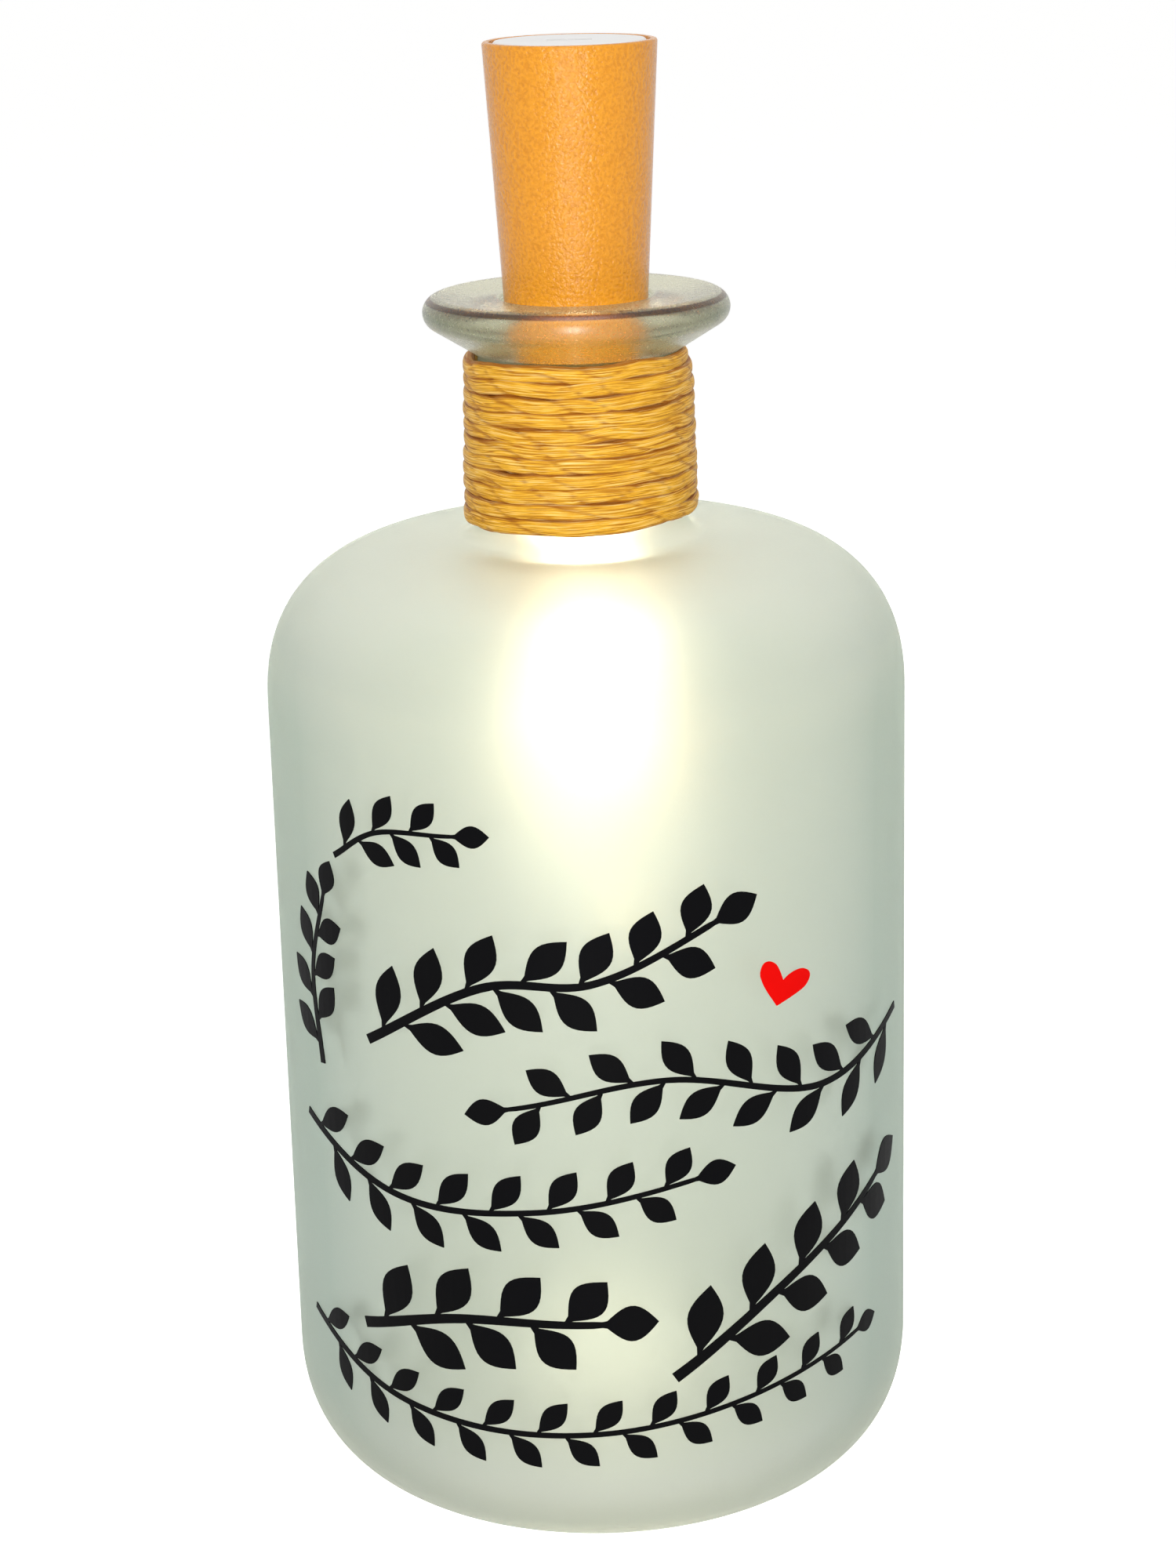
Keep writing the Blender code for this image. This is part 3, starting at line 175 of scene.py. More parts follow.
# Light string: 0.74 m of enamelled twin wire, twisted, that comes out of the stopper's seal and is
# folded into a hank, so that its fifteen lights sit close together under the neck.
WIRE_DIAMETER = 0.8 * MM
WIRE_TWIST = 5.0 * MM
WIRE_CORNERS = 10
WIRE_FLATNESS = 0.58
WIRE_STEP = 0.5 * MM
CURVE_STEPS = 12
HANK_LOOPS = 7.25
HANK_POINTS = 24
HANK_CLIMB_TURNS = 0.25
HANK_FOLD_RADIUS = 2.4 * MM
HANK_LOOP_STEP = 1.44 * MM
HANK_LAYER_STEP = 1.3 * MM
HANK_WAIST = 0.85
HANK_MIDDLE = 114.5 * MM
HANK_RUN_LENGTH = 33.0 * MM
LEAD_POINTS = (
    (0.0, 0.0, 142.9), (0.1, -0.05, 141.1), (1.3, -0.2, 139.2), (4.2, -0.4, 137.6),
    (6.6, -0.6, 135.2), (7.4, -0.65, 132.9), (7.44, -0.65, 131.3),
)
TAIL_POINTS = (
    (7.44, 0.65, 97.7), (7.4, 0.65, 95.7), (6.9, 0.6, 91.5), (5.6, 0.5, 86.0), (4.6, 0.4, 80.5),
    (4.4, 0.4, 77.0),
)


def smooth_curve(knots, steps):
    """Points of one smooth curve that passes through every knot."""
    knots = [Vector(knot) for knot in knots]
    padded = [knots[0] * 2 - knots[1], *knots, knots[-1] * 2 - knots[-2]]
    points = []
    for before, start, end, after in zip(padded, padded[1:], padded[2:], padded[3:]):
        for step in range(steps):
            share = step / steps
            bend = 2 * before - 5 * start + 4 * end - after
            twist = 3 * start - before - 3 * end + after
            points.append((2 * start + (end - before) * share + bend * share**2 + twist * share**3) / 2)
    return [*points, knots[-1]]


def line_length(points):
    """Length of a line of points."""
    return sum((end - start).length for start, end in zip(points, points[1:]))


def even_points(points, count):
    """The same line in a number of equal steps."""
    reach = [0.0]
    for start, end in zip(points, points[1:]):
        reach.append(reach[-1] + (end - start).length)
    even = []
    index = 0
    for step in range(count + 1):
        distance = reach[-1] * step / count
        while index < len(points) - 2 and reach[index + 1] < distance:
            index += 1
        share = (distance - reach[index]) / (reach[index + 1] - reach[index])
        even.append(points[index].lerp(points[index + 1], min(share, 1.0)))
    return even


def hank_points():
    """Loops that wind in through the front layer, climb along one run and wind out through the back."""
    middle_turn = HANK_LOOPS / 2
    for index in range(round(HANK_LOOPS * HANK_POINTS) + 1):
        turn = index / HANK_POINTS
        reach = max(0, abs(turn - middle_turn) - HANK_CLIMB_TURNS / 2)
        half_width = HANK_FOLD_RADIUS + HANK_LOOP_STEP * reach
        climb = max(0, min(1, (turn - middle_turn) / HANK_CLIMB_TURNS + 0.5))
        quarter, share = divmod(turn % 1 * 4, 1)
        side = 1 if quarter < 2 else -1
        if quarter % 2:
            angle = math.pi * share
            across = side * half_width * math.cos(angle)
            height = HANK_MIDDLE - side * (HANK_RUN_LENGTH / 2 + half_width * math.sin(angle))
        else:
            waist = 1 - (1 - HANK_WAIST) * math.sin(math.pi * share) ** 2
            across = side * half_width * waist
            height = HANK_MIDDLE + side * HANK_RUN_LENGTH * (0.5 - share)
        yield Vector((across, HANK_LAYER_STEP * (climb - 0.5), height))


def add_tube(shape, stations, ring):
    """Adds a closed tube along its stations, each a point and the two directions of its ring.
    Its UV map runs once round the tube and in centimetres along it."""
    lay = shape.loops.layers.uv.get("lay") or shape.loops.layers.uv.new("lay")
    rings = []
    for index, (point, side, up) in enumerate(stations):
        rings.append([shape.verts.new(point + side * x + up * y) for x, y in ring(index)])
    count = len(rings[0])
    along = 0.0
    for index, (near, far) in enumerate(zip(rings, rings[1:])):
        step = (stations[index + 1][0] - stations[index][0]).length / (10 * MM)
        for corner in range(count):
            other = (corner + 1) % count
            face = shape.faces.new((near[corner], near[other], far[other], far[corner]))
            low, high = corner / count, (corner + 1) / count
            for loop, place in zip(face.loops, ((low, 0), (high, 0), (high, step), (low, step))):
                loop[lay].uv = (place[0], along + place[1])
            face.smooth = True
        along += step
    shape.faces.new(rings[0])
    shape.faces.new(rings[-1])
    bmesh.ops.recalc_face_normals(shape, faces=shape.faces)


def piece_from(name, shape):
    """Turns a finished shape into an object at the origin."""
    mesh = bpy.data.meshes.new(name)
    shape.to_mesh(mesh)
    shape.free()
    made = bpy.data.objects.new(name, mesh)
    bpy.context.scene.collection.objects.link(made)
    return made


def carried_stations(points):
    """Each point with two cross directions that turn no more than the line does."""
    stations = []
    side = Vector((0.0, 1.0, 0.0))
    for index, point in enumerate(points):
        along = (points[min(index + 1, len(points) - 1)] - points[max(index - 1, 0)]).normalized()
        side = (side - along * side.dot(along)).normalized()
        stations.append((point, side, along.cross(side)))
    return stations


def wire_ring(index):
    """Section of two round wires side by side, turned as the pair is twisted."""
    turn = 2 * math.pi * index * WIRE_STEP / WIRE_TWIST
    for corner in range(WIRE_CORNERS):
        angle = 2 * math.pi * corner / WIRE_CORNERS
        x = WIRE_DIAMETER / 2 * math.cos(angle)
        y = WIRE_DIAMETER / 2 * WIRE_FLATNESS * math.sin(angle)
        yield x * math.cos(turn) - y * math.sin(turn), x * math.sin(turn) + y * math.cos(turn)


lead = smooth_curve([Vector(point) * MM for point in LEAD_POINTS], CURVE_STEPS)
tail = smooth_curve([Vector(point) * MM for point in TAIL_POINTS], CURVE_STEPS)
string_line = [*lead, *hank_points(), *tail]
string_length = line_length(string_line)
string_points = even_points(string_line, round(string_length / WIRE_STEP))
shape = bmesh.new()
add_tube(shape, carried_stations(string_points), wire_ring)
string_wire = piece_from("led_string_wire", shape)
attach(string_wire, "stopper")
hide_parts("led_wire_lead", "led_wire_hank", "led_wire_tail")

surface_grain = bpy.data.node_groups.new("surface_grain", "ShaderNodeTree")
grain_sockets = surface_grain.interface
for socket_name, value in (("Grain Scale", 3000.0), ("Patch Scale", 120.0)):
    socket = grain_sockets.new_socket(socket_name, in_out="INPUT", socket_type="NodeSocketFloat")
    socket.default_value = value
for socket_name in ("Grain", "Patches"):
    grain_sockets.new_socket(socket_name, in_out="OUTPUT", socket_type="NodeSocketFloat")
grain_in = surface_grain.nodes.new("NodeGroupInput")
grain_out = surface_grain.nodes.new("NodeGroupOutput")
grain_place = surface_grain.nodes.new("ShaderNodeTexCoord")
for socket_name, scale_name, detail in (("Grain", "Grain Scale", 2.0), ("Patches", "Patch Scale", 4.0)):
    cloud = add_node(surface_grain, "ShaderNodeTexNoise", {
        "Vector": grain_place.outputs["Object"], "Scale": grain_in.outputs[scale_name], "Detail": detail,
    })
    feed(grain_out, {socket_name: cloud.outputs["Fac"]})
RELIEF_HEIGHT = 0.1 * MM


def finish(
    name, colour, shade, roughness, metallic=0.0, grain=3000.0, patches=150.0, depth=0.1, spread=0.06,
    more=None,
):
    """A finish with two tones in soft patches and a fine grain that shows in its gloss and its relief.
    A dict of more sets further sockets of its shader by their names."""
    material = bpy.data.materials.new(name)
    material.use_nodes = True
    tree = material.node_tree
    surface = add_node(
        tree, "ShaderNodeGroup", {"Grain Scale": grain, "Patch Scale": patches},
        node_tree=surface_grain, name="surface",
    )
    tone = add_node(
        tree, "ShaderNodeMix",
        {"Factor": surface.outputs["Patches"], 6: (*colour, 1.0), 7: (*shade, 1.0)},
        data_type="RGBA", name="tone",
    )
    gloss = add_node(tree, "ShaderNodeMapRange", {
        "Value": surface.outputs["Grain"], "To Min": roughness - spread, "To Max": roughness + spread,
    })
    relief = add_node(
        tree, "ShaderNodeBump",
        {"Height": surface.outputs["Grain"], "Strength": depth, "Distance": RELIEF_HEIGHT},
        name="relief",
    )
    feed(tree.nodes["Principled BSDF"], {
        "Base Color": tone.outputs[2], "Metallic": metallic, "Roughness": gloss.outputs[0],
        "Normal": relief.outputs["Normal"], **(more or {}),
    })
    return material


copper_enamel = finish(
    "copper_enamel", (0.82, 0.47, 0.25), (0.70, 0.36, 0.17), 0.28, metallic=1.0, grain=2500.0,
    patches=300.0,
)
string_wire.data.materials.append(copper_enamel)

# Lights of the string: a chip soldered between the two wires, in a drop of clear resin that wets them.
# All are lit. They stand 50 mm apart along the wire, but for the last one, which closes its end.
DROP_COUNT = 15
DROP_SPACING = 50.0 * MM
DROP_RADIUS = 0.95 * MM
DROP_HALF_LENGTH = 1.75 * MM
DROP_OFFSET = 0.8 * MM
CHIP_SIZE = (0.5 * MM, 0.8 * MM, 1.6 * MM)
CHIP_EDGE = 0.12 * MM
WARM_WHITE = (1.0, 0.82, 0.50, 1.0)

drop_resin = finish(
    "drop_resin", (1.0, 0.93, 0.78), (1.0, 0.88, 0.66), 0.08, grain=900.0, depth=0.02, spread=0.03,
    more={"Transmission Weight": 0.85, "Emission Color": WARM_WHITE, "Emission Strength": 1.2},
)
chip_glow = finish(
    "chip_glow", (1.0, 0.75, 0.2), (1.0, 0.65, 0.1), 0.5, grain=4000.0,
    more={"Emission Color": WARM_WHITE, "Emission Strength": 14.0},
)


def string_place(distance):
    """The point and the direction at a distance along the wire."""
    index = min(round(distance / string_length * (len(string_points) - 1)), len(string_points) - 2)
    start, end = string_points[index], string_points[index + 1]
    return start, (end - start).normalized()


led_drops = []
for number in range(1, DROP_COUNT + 1):
    node = f"led_drop_{number:02d}"
    low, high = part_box(node)
    middle = (low + high) / 2
    wire_point, along = string_place(DROP_SPACING * number)
    outward = Vector((0, 1, 0))
    if number < DROP_COUNT:
        outward = (middle - wire_point).normalized()
        middle = wire_point + outward * DROP_OFFSET
    outward = (outward - along * outward.dot(along)).normalized()
    turn = Matrix((outward, along.cross(outward), along)).transposed()
    shape = bmesh.new()
    bmesh.ops.create_uvsphere(shape, u_segments=20, v_segments=12, radius=1.0)
    bmesh.ops.scale(shape, vec=(DROP_RADIUS, DROP_RADIUS, DROP_HALF_LENGTH), verts=shape.verts)
    resin_faces = set(shape.faces)
    chip = bmesh.ops.create_cube(shape, size=1.0)
    bmesh.ops.scale(shape, vec=CHIP_SIZE, verts=chip["verts"])
    chip_edges = list({edge for vert in chip["verts"] for edge in vert.link_edges})
    bmesh.ops.bevel(
        shape, geom=chip_edges, offset=CHIP_EDGE, affect="EDGES", segments=2, profile=0.5, material=-1,
    )
    for face in shape.faces:
        face.smooth = face in resin_faces
        face.material_index = 0 if face in resin_faces else 1
    bmesh.ops.rotate(shape, cent=(0, 0, 0), matrix=turn, verts=shape.verts)
    bmesh.ops.translate(shape, vec=middle, verts=shape.verts)
    drop = piece_from(f"led_bead_{number:02d}", shape)
    drop.data.materials.append(drop_resin)
    drop.data.materials.append(chip_glow)
    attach(drop, "stopper")
    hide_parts(node)
    led_drops.append(drop)

# Twist tie: a paper ribbon on a thin steel core, laid once round all the runs of the hank, with its two
# ends twisted into a pigtail that hangs down in front of them.
TIE_HEIGHT = 1.5 * MM
TIE_HALF_THICKNESS = 0.25 * MM
TIE_DEPTH = 1.6 * MM
TIE_STEPS = 96
TIE_END_SHARPNESS = 4
RIBBON_SIDE = ((-1, 0.35), (-0.3, 0.45), (0, 1), (0.3, 0.45), (1, 0.35))
PIGTAIL_PLACE = Vector((0, -0.65, 0)) * MM
PIGTAIL_LENGTH, PIGTAIL_LEAN = 7.0 * MM, 1.2 * MM
PIGTAIL_RADIUS = 0.3 * MM
PIGTAIL_TURNS = 2.5
PIGTAIL_STEPS = 40
PIGTAIL_HALF_WIDTH, PIGTAIL_HALF_THICKNESS = 0.55 * MM, 0.2 * MM
UP = Vector((0, 0, 1))

tie_low, tie_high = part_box("hank_tie")
tie_middle = (tie_low + tie_high) / 2
tie_half_run = (tie_high.x - tie_low.x) / 2 - TIE_DEPTH
tie_loop = []
for step in range(TIE_STEPS + 1):
    angle = 2 * math.pi * step / TIE_STEPS - math.pi / 2
    x, y = math.cos(angle), math.sin(angle)
    across = math.copysign(tie_half_run, x) * min(1.0, abs(x) * TIE_END_SHARPNESS)
    tie_loop.append(tie_middle + Vector((across + TIE_DEPTH * x, TIE_DEPTH * y, 0)))


def ribbon_ring(half_width, half_thickness):
    """Section of a ribbon with a round core in its middle."""
    for x, y in RIBBON_SIDE:
        yield x * half_width, y * half_thickness
    for x, y in RIBBON_SIDE:
        yield -x * half_width, -y * half_thickness


shape = bmesh.new()
tie_stations = []
for index, point in enumerate(tie_loop):
    along = (tie_loop[min(index + 1, TIE_STEPS)] - tie_loop[max(index - 1, 0)]).normalized()
    tie_stations.append((point, UP, along.cross(UP)))
add_tube(shape, tie_stations, lambda index: ribbon_ring(TIE_HEIGHT / 2, TIE_HALF_THICKNESS))
for side in (0, math.pi):
    stations = []
    for step in range(PIGTAIL_STEPS + 1):
        share = step / PIGTAIL_STEPS
        turn = 2 * math.pi * PIGTAIL_TURNS * share + side
        out = Vector((math.cos(turn), math.sin(turn), 0))
        place = tie_loop[0] + PIGTAIL_PLACE + Vector((PIGTAIL_LEAN, 0, -PIGTAIL_LENGTH)) * share
        stations.append((place + out * PIGTAIL_RADIUS, UP.cross(out), out))
    add_tube(shape, stations, lambda index: ribbon_ring(PIGTAIL_HALF_WIDTH, PIGTAIL_HALF_THICKNESS))
twist_tie = piece_from("hank_twist_tie", shape)
tie_paper = finish("tie_paper", (0.92, 0.92, 0.90), (0.84, 0.84, 0.80), 0.6, grain=1800.0, depth=0.35)
twist_tie.data.materials.append(tie_paper)
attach(twist_tie, "stopper")
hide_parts("hank_tie")

# Light of the string: soft lamps that hang with the wire stand for the light of its drops. They leave
# out the string itself, which they would drown from so near. Each has its place across, its height and
# its radius in millimetres, and its power in watts.
LAMP_COLOUR = (1.0, 0.90, 0.67)
LAMPS = (
    (0.0, 139.5, 3.0, 0.0030), (0.5, 129.5, 6.5, 0.0115), (1.0, 124.5, 8.0, 0.0118),
    (1.5, 117.0, 7.5, 0.0115), (0.5, 108.0, 9.5, 0.0134), (0.0, 99.0, 10.5, 0.0088),
    (2.0, 86.0, 13.0, 0.0042), (1.0, 9.0, 12.0, 0.0052),
)

lit_string = bpy.data.collections.new("lit_string")
for piece in (string_wire, twist_tie, *led_drops):
    lit_string.objects.link(piece)
for link in lit_string.collection_objects:
    link.light_linking.link_state = "EXCLUDE"
for number, (across, height, radius, power) in enumerate(LAMPS, 1):
    data = bpy.data.lights.new(f"string_lamp_{number}", "POINT")
    data.energy = power
    data.color = LAMP_COLOUR
    data.shadow_soft_size = radius * MM
    lamp = bpy.data.objects.new(data.name, data)
    bpy.context.scene.collection.objects.link(lamp)
    lamp.parent = string_wire
    lamp.location = (across * MM, 0.0, height * MM)
    lamp.visible_camera = False
    lamp.light_linking.receiver_collection = lit_string

# Glass bottle: one blown and pressed body of clear glass, etched to a satin frost outside and smooth
# inside. Its foot stands on a ring round a raised middle, and its wide lip is fire-rounded at its edge.
BODY_RADIUS = 41.25
LIP_POLISH, POLISH_INNER_EDGE = 6.8, 0.1
# Angle and half width of a dark band round the lip's rounded edge, a painted reflection of the stopper's
# shaded side.
LIP_REFLECTION_ANGLE, LIP_REFLECTION_HALF = math.radians(50.0), math.radians(13.0)
GLASS_HEIGHT = 158.0
SIDE_WALL = 3.0
BASE_THICKNESS = 5.0
PUNT_DEPTH, PUNT_SWELL = 3.0, 0.75
STANDING_RING = 4.0
HEEL_WIDTH, HEEL_HEIGHT, HEEL_EXPONENT = 17.6, 18.0, 2.31
SHOULDER_START, SHOULDER_RISE, SHOULDER_EXPONENT = 106.1, 21.4, 2.47
INNER_SHOULDER_TOP = 123.72
NECK_ROOT_FILLET = 3.0
NECK_ROOT_RADIUS, NECK_TOP_RADIUS = 13.2, 12.6
LIP_RADIUS, LIP_EDGE_RADIUS, LIP_DEPTH = 19.4, 2.1, 7.6
LIP_UNDERCUT = math.radians(-58.0)
LIP_ROOT_FLARE, LIP_ROOT_RISE = 0.8, 0.6
MOUTH_DISH = 0.4
MOUTH_RADIUS, MOUTH_EDGE_RADIUS = 9.42, 0.8
BOTTLE_STEPS = 160
SEAM_GAP = 0.001 * MM


def arc_points(middle, radius, start, end, steps):
    """Corners of an arc in the half plane of radius and height."""
    for step in range(steps + 1):
        angle = start + (end - start) * step / steps
        yield middle[0] + radius * math.cos(angle), middle[1] + radius * math.sin(angle)


def rounded_quarter(inner, outer, exponent, steps):
    """Corners of a quarter curve, rounder than an ellipse, from the outer side to the inner height."""
    for step in range(steps + 1):
        angle = math.pi / 2 * step / steps
        across = math.cos(angle) ** (2 / exponent) if step < steps else 0.0
        up = math.sin(angle) ** (2 / exponent) if step else 0.0
        yield inner[0] + (outer[0] - inner[0]) * across, inner[1] + (outer[1] - inner[1]) * up


def spin_profile(shape, profile, steps, closed=False):
    """Spins a half profile in millimetres into shape and returns its new faces."""
    old = set(shape.faces)
    corners = [shape.verts.new((radius * MM, 0, height * MM)) for radius, height in profile]
    pairs = list(zip(corners, corners[1:]))
    if closed:
        pairs.append((corners[-1], corners[0]))
    edges = [shape.edges.new(pair) for pair in pairs]
    bmesh.ops.spin(
        shape, geom=corners + edges, cent=(0, 0, 0), axis=(0, 0, 1), dvec=(0, 0, 0),
        angle=2 * math.pi, steps=steps, use_merge=True, use_duplicate=False,
    )
    bmesh.ops.remove_doubles(shape, verts=shape.verts, dist=SEAM_GAP)
    return [face for face in shape.faces if face not in old]


root_reach = NECK_ROOT_RADIUS + NECK_ROOT_FILLET
shoulder_top = SHOULDER_START + SHOULDER_RISE
lip_root = GLASS_HEIGHT - LIP_DEPTH
heel_inner = BODY_RADIUS - HEEL_WIDTH
wall_radius = BODY_RADIUS - SIDE_WALL
mouth_height = GLASS_HEIGHT - MOUTH_DISH
neck_wall = NECK_ROOT_RADIUS - MOUTH_RADIUS
lip_middle = (LIP_RADIUS - LIP_EDGE_RADIUS, GLASS_HEIGHT - LIP_EDGE_RADIUS)
fillet_middle = (root_reach, shoulder_top + NECK_ROOT_FILLET)
mouth_middle = (MOUTH_RADIUS + MOUTH_EDGE_RADIUS, mouth_height - MOUTH_EDGE_RADIUS)
shoulder_inner, shoulder_outer = (root_reach, SHOULDER_START), (BODY_RADIUS, shoulder_top)
heel_middle = (heel_inner, HEEL_HEIGHT)
outside = [
    *arc_points(lip_middle, LIP_EDGE_RADIUS, math.pi / 2, LIP_UNDERCUT, steps=24),
    (NECK_TOP_RADIUS + LIP_ROOT_FLARE, lip_root + LIP_ROOT_RISE),
    (NECK_TOP_RADIUS, lip_root),
    *arc_points(fillet_middle, NECK_ROOT_FILLET, -math.pi, -math.pi / 2, steps=10),
    *list(rounded_quarter(shoulder_inner, shoulder_outer, SHOULDER_EXPONENT, steps=40))[-2::-1],
    *rounded_quarter(heel_middle, (BODY_RADIUS, 0.0), HEEL_EXPONENT, steps=36),
    (heel_inner - STANDING_RING, 0.0),
    ((heel_inner - STANDING_RING) / 2, PUNT_DEPTH * PUNT_SWELL),
    (0.0, PUNT_DEPTH),
]
inside = [
    (0.0, BASE_THICKNESS + PUNT_DEPTH / 2),
    *list(rounded_quarter(heel_middle, (wall_radius, BASE_THICKNESS), HEEL_EXPONENT, steps=30))[::-1],
    *rounded_quarter(shoulder_inner, (wall_radius, INNER_SHOULDER_TOP), SHOULDER_EXPONENT, steps=34),
    *list(arc_points(fillet_middle, NECK_ROOT_FILLET + neck_wall, -math.pi / 2, -math.pi, steps=12))[1:],
    *arc_points(mouth_middle, MOUTH_EDGE_RADIUS, math.pi, math.pi / 2, steps=8),
    outside[0],
]
shape = bmesh.new()
for index, profile in enumerate((outside, inside)):
    for face in spin_profile(shape, profile, BOTTLE_STEPS):
        face.material_index = index
for face in shape.faces:
    face.smooth = True
    middle = face.calc_center_median()
    beside_mouth = middle.xy.length > (MOUTH_RADIUS + POLISH_INNER_EDGE) * MM
    if middle.z > (GLASS_HEIGHT - LIP_POLISH) * MM and beside_mouth:
        face.material_index = 2
bmesh.ops.recalc_face_normals(shape, faces=shape.faces)
bottle = piece_from("frosted_bottle", shape)
# Marks that painted reflection: one on the band round the lip's edge, zero elsewhere.
painted_lip_reflection = bottle.data.attributes.new("painted_lip_reflection", "FLOAT", "POINT")
for vert, value in zip(bottle.data.vertices, painted_lip_reflection.data):
    across = vert.co.xy.length / MM - (LIP_RADIUS - LIP_EDGE_RADIUS)
    up = vert.co.z / MM - (GLASS_HEIGHT - LIP_EDGE_RADIUS)
    if up > 0 and across > 0:
        value.value = float(abs(math.atan2(up, across) - LIP_REFLECTION_ANGLE) < LIP_REFLECTION_HALF)
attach(bottle, "bottle")
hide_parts("glass_bottle")


GLASS_TINT = (0.85, 0.875, 0.80, 1.0)
GLASS_DEPTH = 20.0
GLASS_IOR = 1.5
EDGE_TINT = (0.36, 0.48, 0.46, 1.0)
EDGE_START, EDGE_END = 0.08, 0.60
HAZE_TINT = (0.99, 0.97, 0.90, 1.0)
FROST_HAZE = 0.20
# Dark amber of the painted reflection on the lip's edge.
LIP_REFLECTION_TINT = (0.10, 0.035, 0.005, 1.0)
# Tints by height in millimetres: deeper at heel and lip, where the glass is thick; lighter up the
# shoulder and neck, a painted glow of the string; warm on the lip's top, a painted reflection of the
# stopper and glow of the string.
THICKNESS_AND_PAINTED_LIGHT_TINTS = (
    (0.0, (0.59, 0.58, 0.58)), (12.0, (0.76, 0.75, 0.76)), (34.0, (0.84, 0.84, 0.86)),
    (116.0, (0.83, 0.83, 0.84)), (127.0, (0.95, 0.95, 0.95)), (149.0, (1.0, 1.0, 1.0)),
    (152.0, (0.47, 0.45, 0.30)), (156.5, (0.48, 0.46, 0.31)), (157.9, (0.94, 0.90, 0.72)),
)


def let_light_through(material, tint, surface=None):
    """Lets shadow rays pass, so that the lamps inside the glass light it and what stands round it."""
    tree = material.node_tree
    path = tree.nodes.new("ShaderNodeLightPath")
    clear = add_node(tree, "ShaderNodeBsdfTransparent", {"Color": (*tint, 1.0)})
    surface = surface or tree.nodes["Principled BSDF"].outputs[0]
    choice = add_node(tree, "ShaderNodeMixShader", {
        0: path.outputs["Is Shadow Ray"], 1: surface, 2: clear.outputs[0],
    })
    feed(tree.nodes["Material Output"], {"Surface": choice.outputs[0]})


def rising(tree, value, start, end):
    """Goes from zero to one while a value goes from start to end."""
    ramp = add_node(tree, "ShaderNodeMapRange", {"Value": value, "From Min": start, "From Max": end})
    return ramp.outputs[0]


def deepened(tree, colour, tint, mask=1.0):
    """A colour multiplied by a tint, or only where a mask is one."""
    deeper = add_node(
        tree, "ShaderNodeMix", {"Factor": mask, 6: colour, 7: tint},
        data_type="RGBA", blend_type="MULTIPLY",
    )
    return deeper.outputs[2]


def tint_by_depth_and_painted_light(material):
    """Deepens the tint where the glass is thick, at lip and heel, and where one looks along it.
    It also paints light in: glow over the upper shoulder and neck, and the stopper's reflection on the
    lip.
    """
    tree = material.node_tree
    place = tree.nodes.new("ShaderNodeTexCoord")
    spot = add_node(tree, "ShaderNodeSeparateXYZ", {0: place.outputs["Object"]})
    height = rising(tree, spot.outputs["Z"], 0.0, GLASS_HEIGHT * MM)
    depth = add_node(tree, "ShaderNodeValToRGB", {"Fac": height}, name="depth")
    stops = depth.color_ramp.elements
    stops.remove(stops[1])
    for index, (level, colour) in enumerate(THICKNESS_AND_PAINTED_LIGHT_TINTS):
        stop = stops.new(level / GLASS_HEIGHT) if index else stops[0]
        stop.position = level / GLASS_HEIGHT
        stop.color = (*colour, 1.0)
    thick = deepened(tree, tree.nodes["tone"].outputs[2], depth.outputs["Color"])
    tilt = add_node(tree, "ShaderNodeSeparateXYZ", {0: place.outputs["Normal"]})
    flat = add_node(tree, "ShaderNodeMath", {0: tilt.outputs["Z"]}, operation="ABSOLUTE")
    wall = add_node(tree, "ShaderNodeMath", {0: 1.0, 1: flat.outputs[0]}, operation="SUBTRACT")
    slant = add_node(tree, "ShaderNodeLayerWeight", {"Blend": 0.5})
    graze = rising(tree, slant.outputs["Facing"], EDGE_START, EDGE_END)
    along_wall = add_node(tree, "ShaderNodeMath", {0: graze, 1: wall.outputs[0]}, operation="MULTIPLY")
    # On that band the glass darkens to dark amber, a painted reflection of the stopper.
    line = add_node(tree, "ShaderNodeAttribute", {}, attribute_name="painted_lip_reflection")
    colour = deepened(tree, thick, EDGE_TINT, along_wall.outputs[0])
    colour = deepened(tree, colour, LIP_REFLECTION_TINT, line.outputs["Fac"])
    feed(tree.nodes["Principled BSDF"], {"Base Color": colour})


def scatter_light(material, share):
    """Spreads a share of the light that comes from behind evenly, as etched glass does."""
    tree = material.node_tree
    # The haze takes the same tints by height, painted glow and reflection with them.
    tint = deepened(tree, tree.nodes["depth"].outputs["Color"], HAZE_TINT)
    haze = add_node(tree, "ShaderNodeBsdfTranslucent", {"Color": tint})
    clear = tree.nodes["Principled BSDF"].outputs[0]
    return add_node(tree, "ShaderNodeMixShader", {0: share, 1: clear, 2: haze.outputs[0]}).outputs[0]


satin_frost = finish(
    "satin_frost", (0.96, 1.0, 0.94), (0.92, 0.965, 0.91), 0.56, grain=2600.0, patches=45.0,
    depth=0.12, spread=0.05, more={"Transmission Weight": 0.92, "IOR": GLASS_IOR},
)
tint_by_depth_and_painted_light(satin_frost)
let_light_through(satin_frost, (0.32, 0.34, 0.32), scatter_light(satin_frost, FROST_HAZE))
tree = satin_frost.node_tree
glass_body = add_node(tree, "ShaderNodeVolumeAbsorption", {"Color": GLASS_TINT, "Density": GLASS_DEPTH})
feed(tree.nodes["Material Output"], {"Volume": glass_body.outputs[0]})
smooth_glass = finish(
    "smooth_glass", (0.97, 0.99, 0.97), (0.95, 0.98, 0.95), 0.06, grain=400.0, patches=45.0,
    depth=0.02, spread=0.02, more={"Transmission Weight": 1.0, "IOR": GLASS_IOR},
)
let_light_through(smooth_glass, (0.97, 0.98, 0.97))
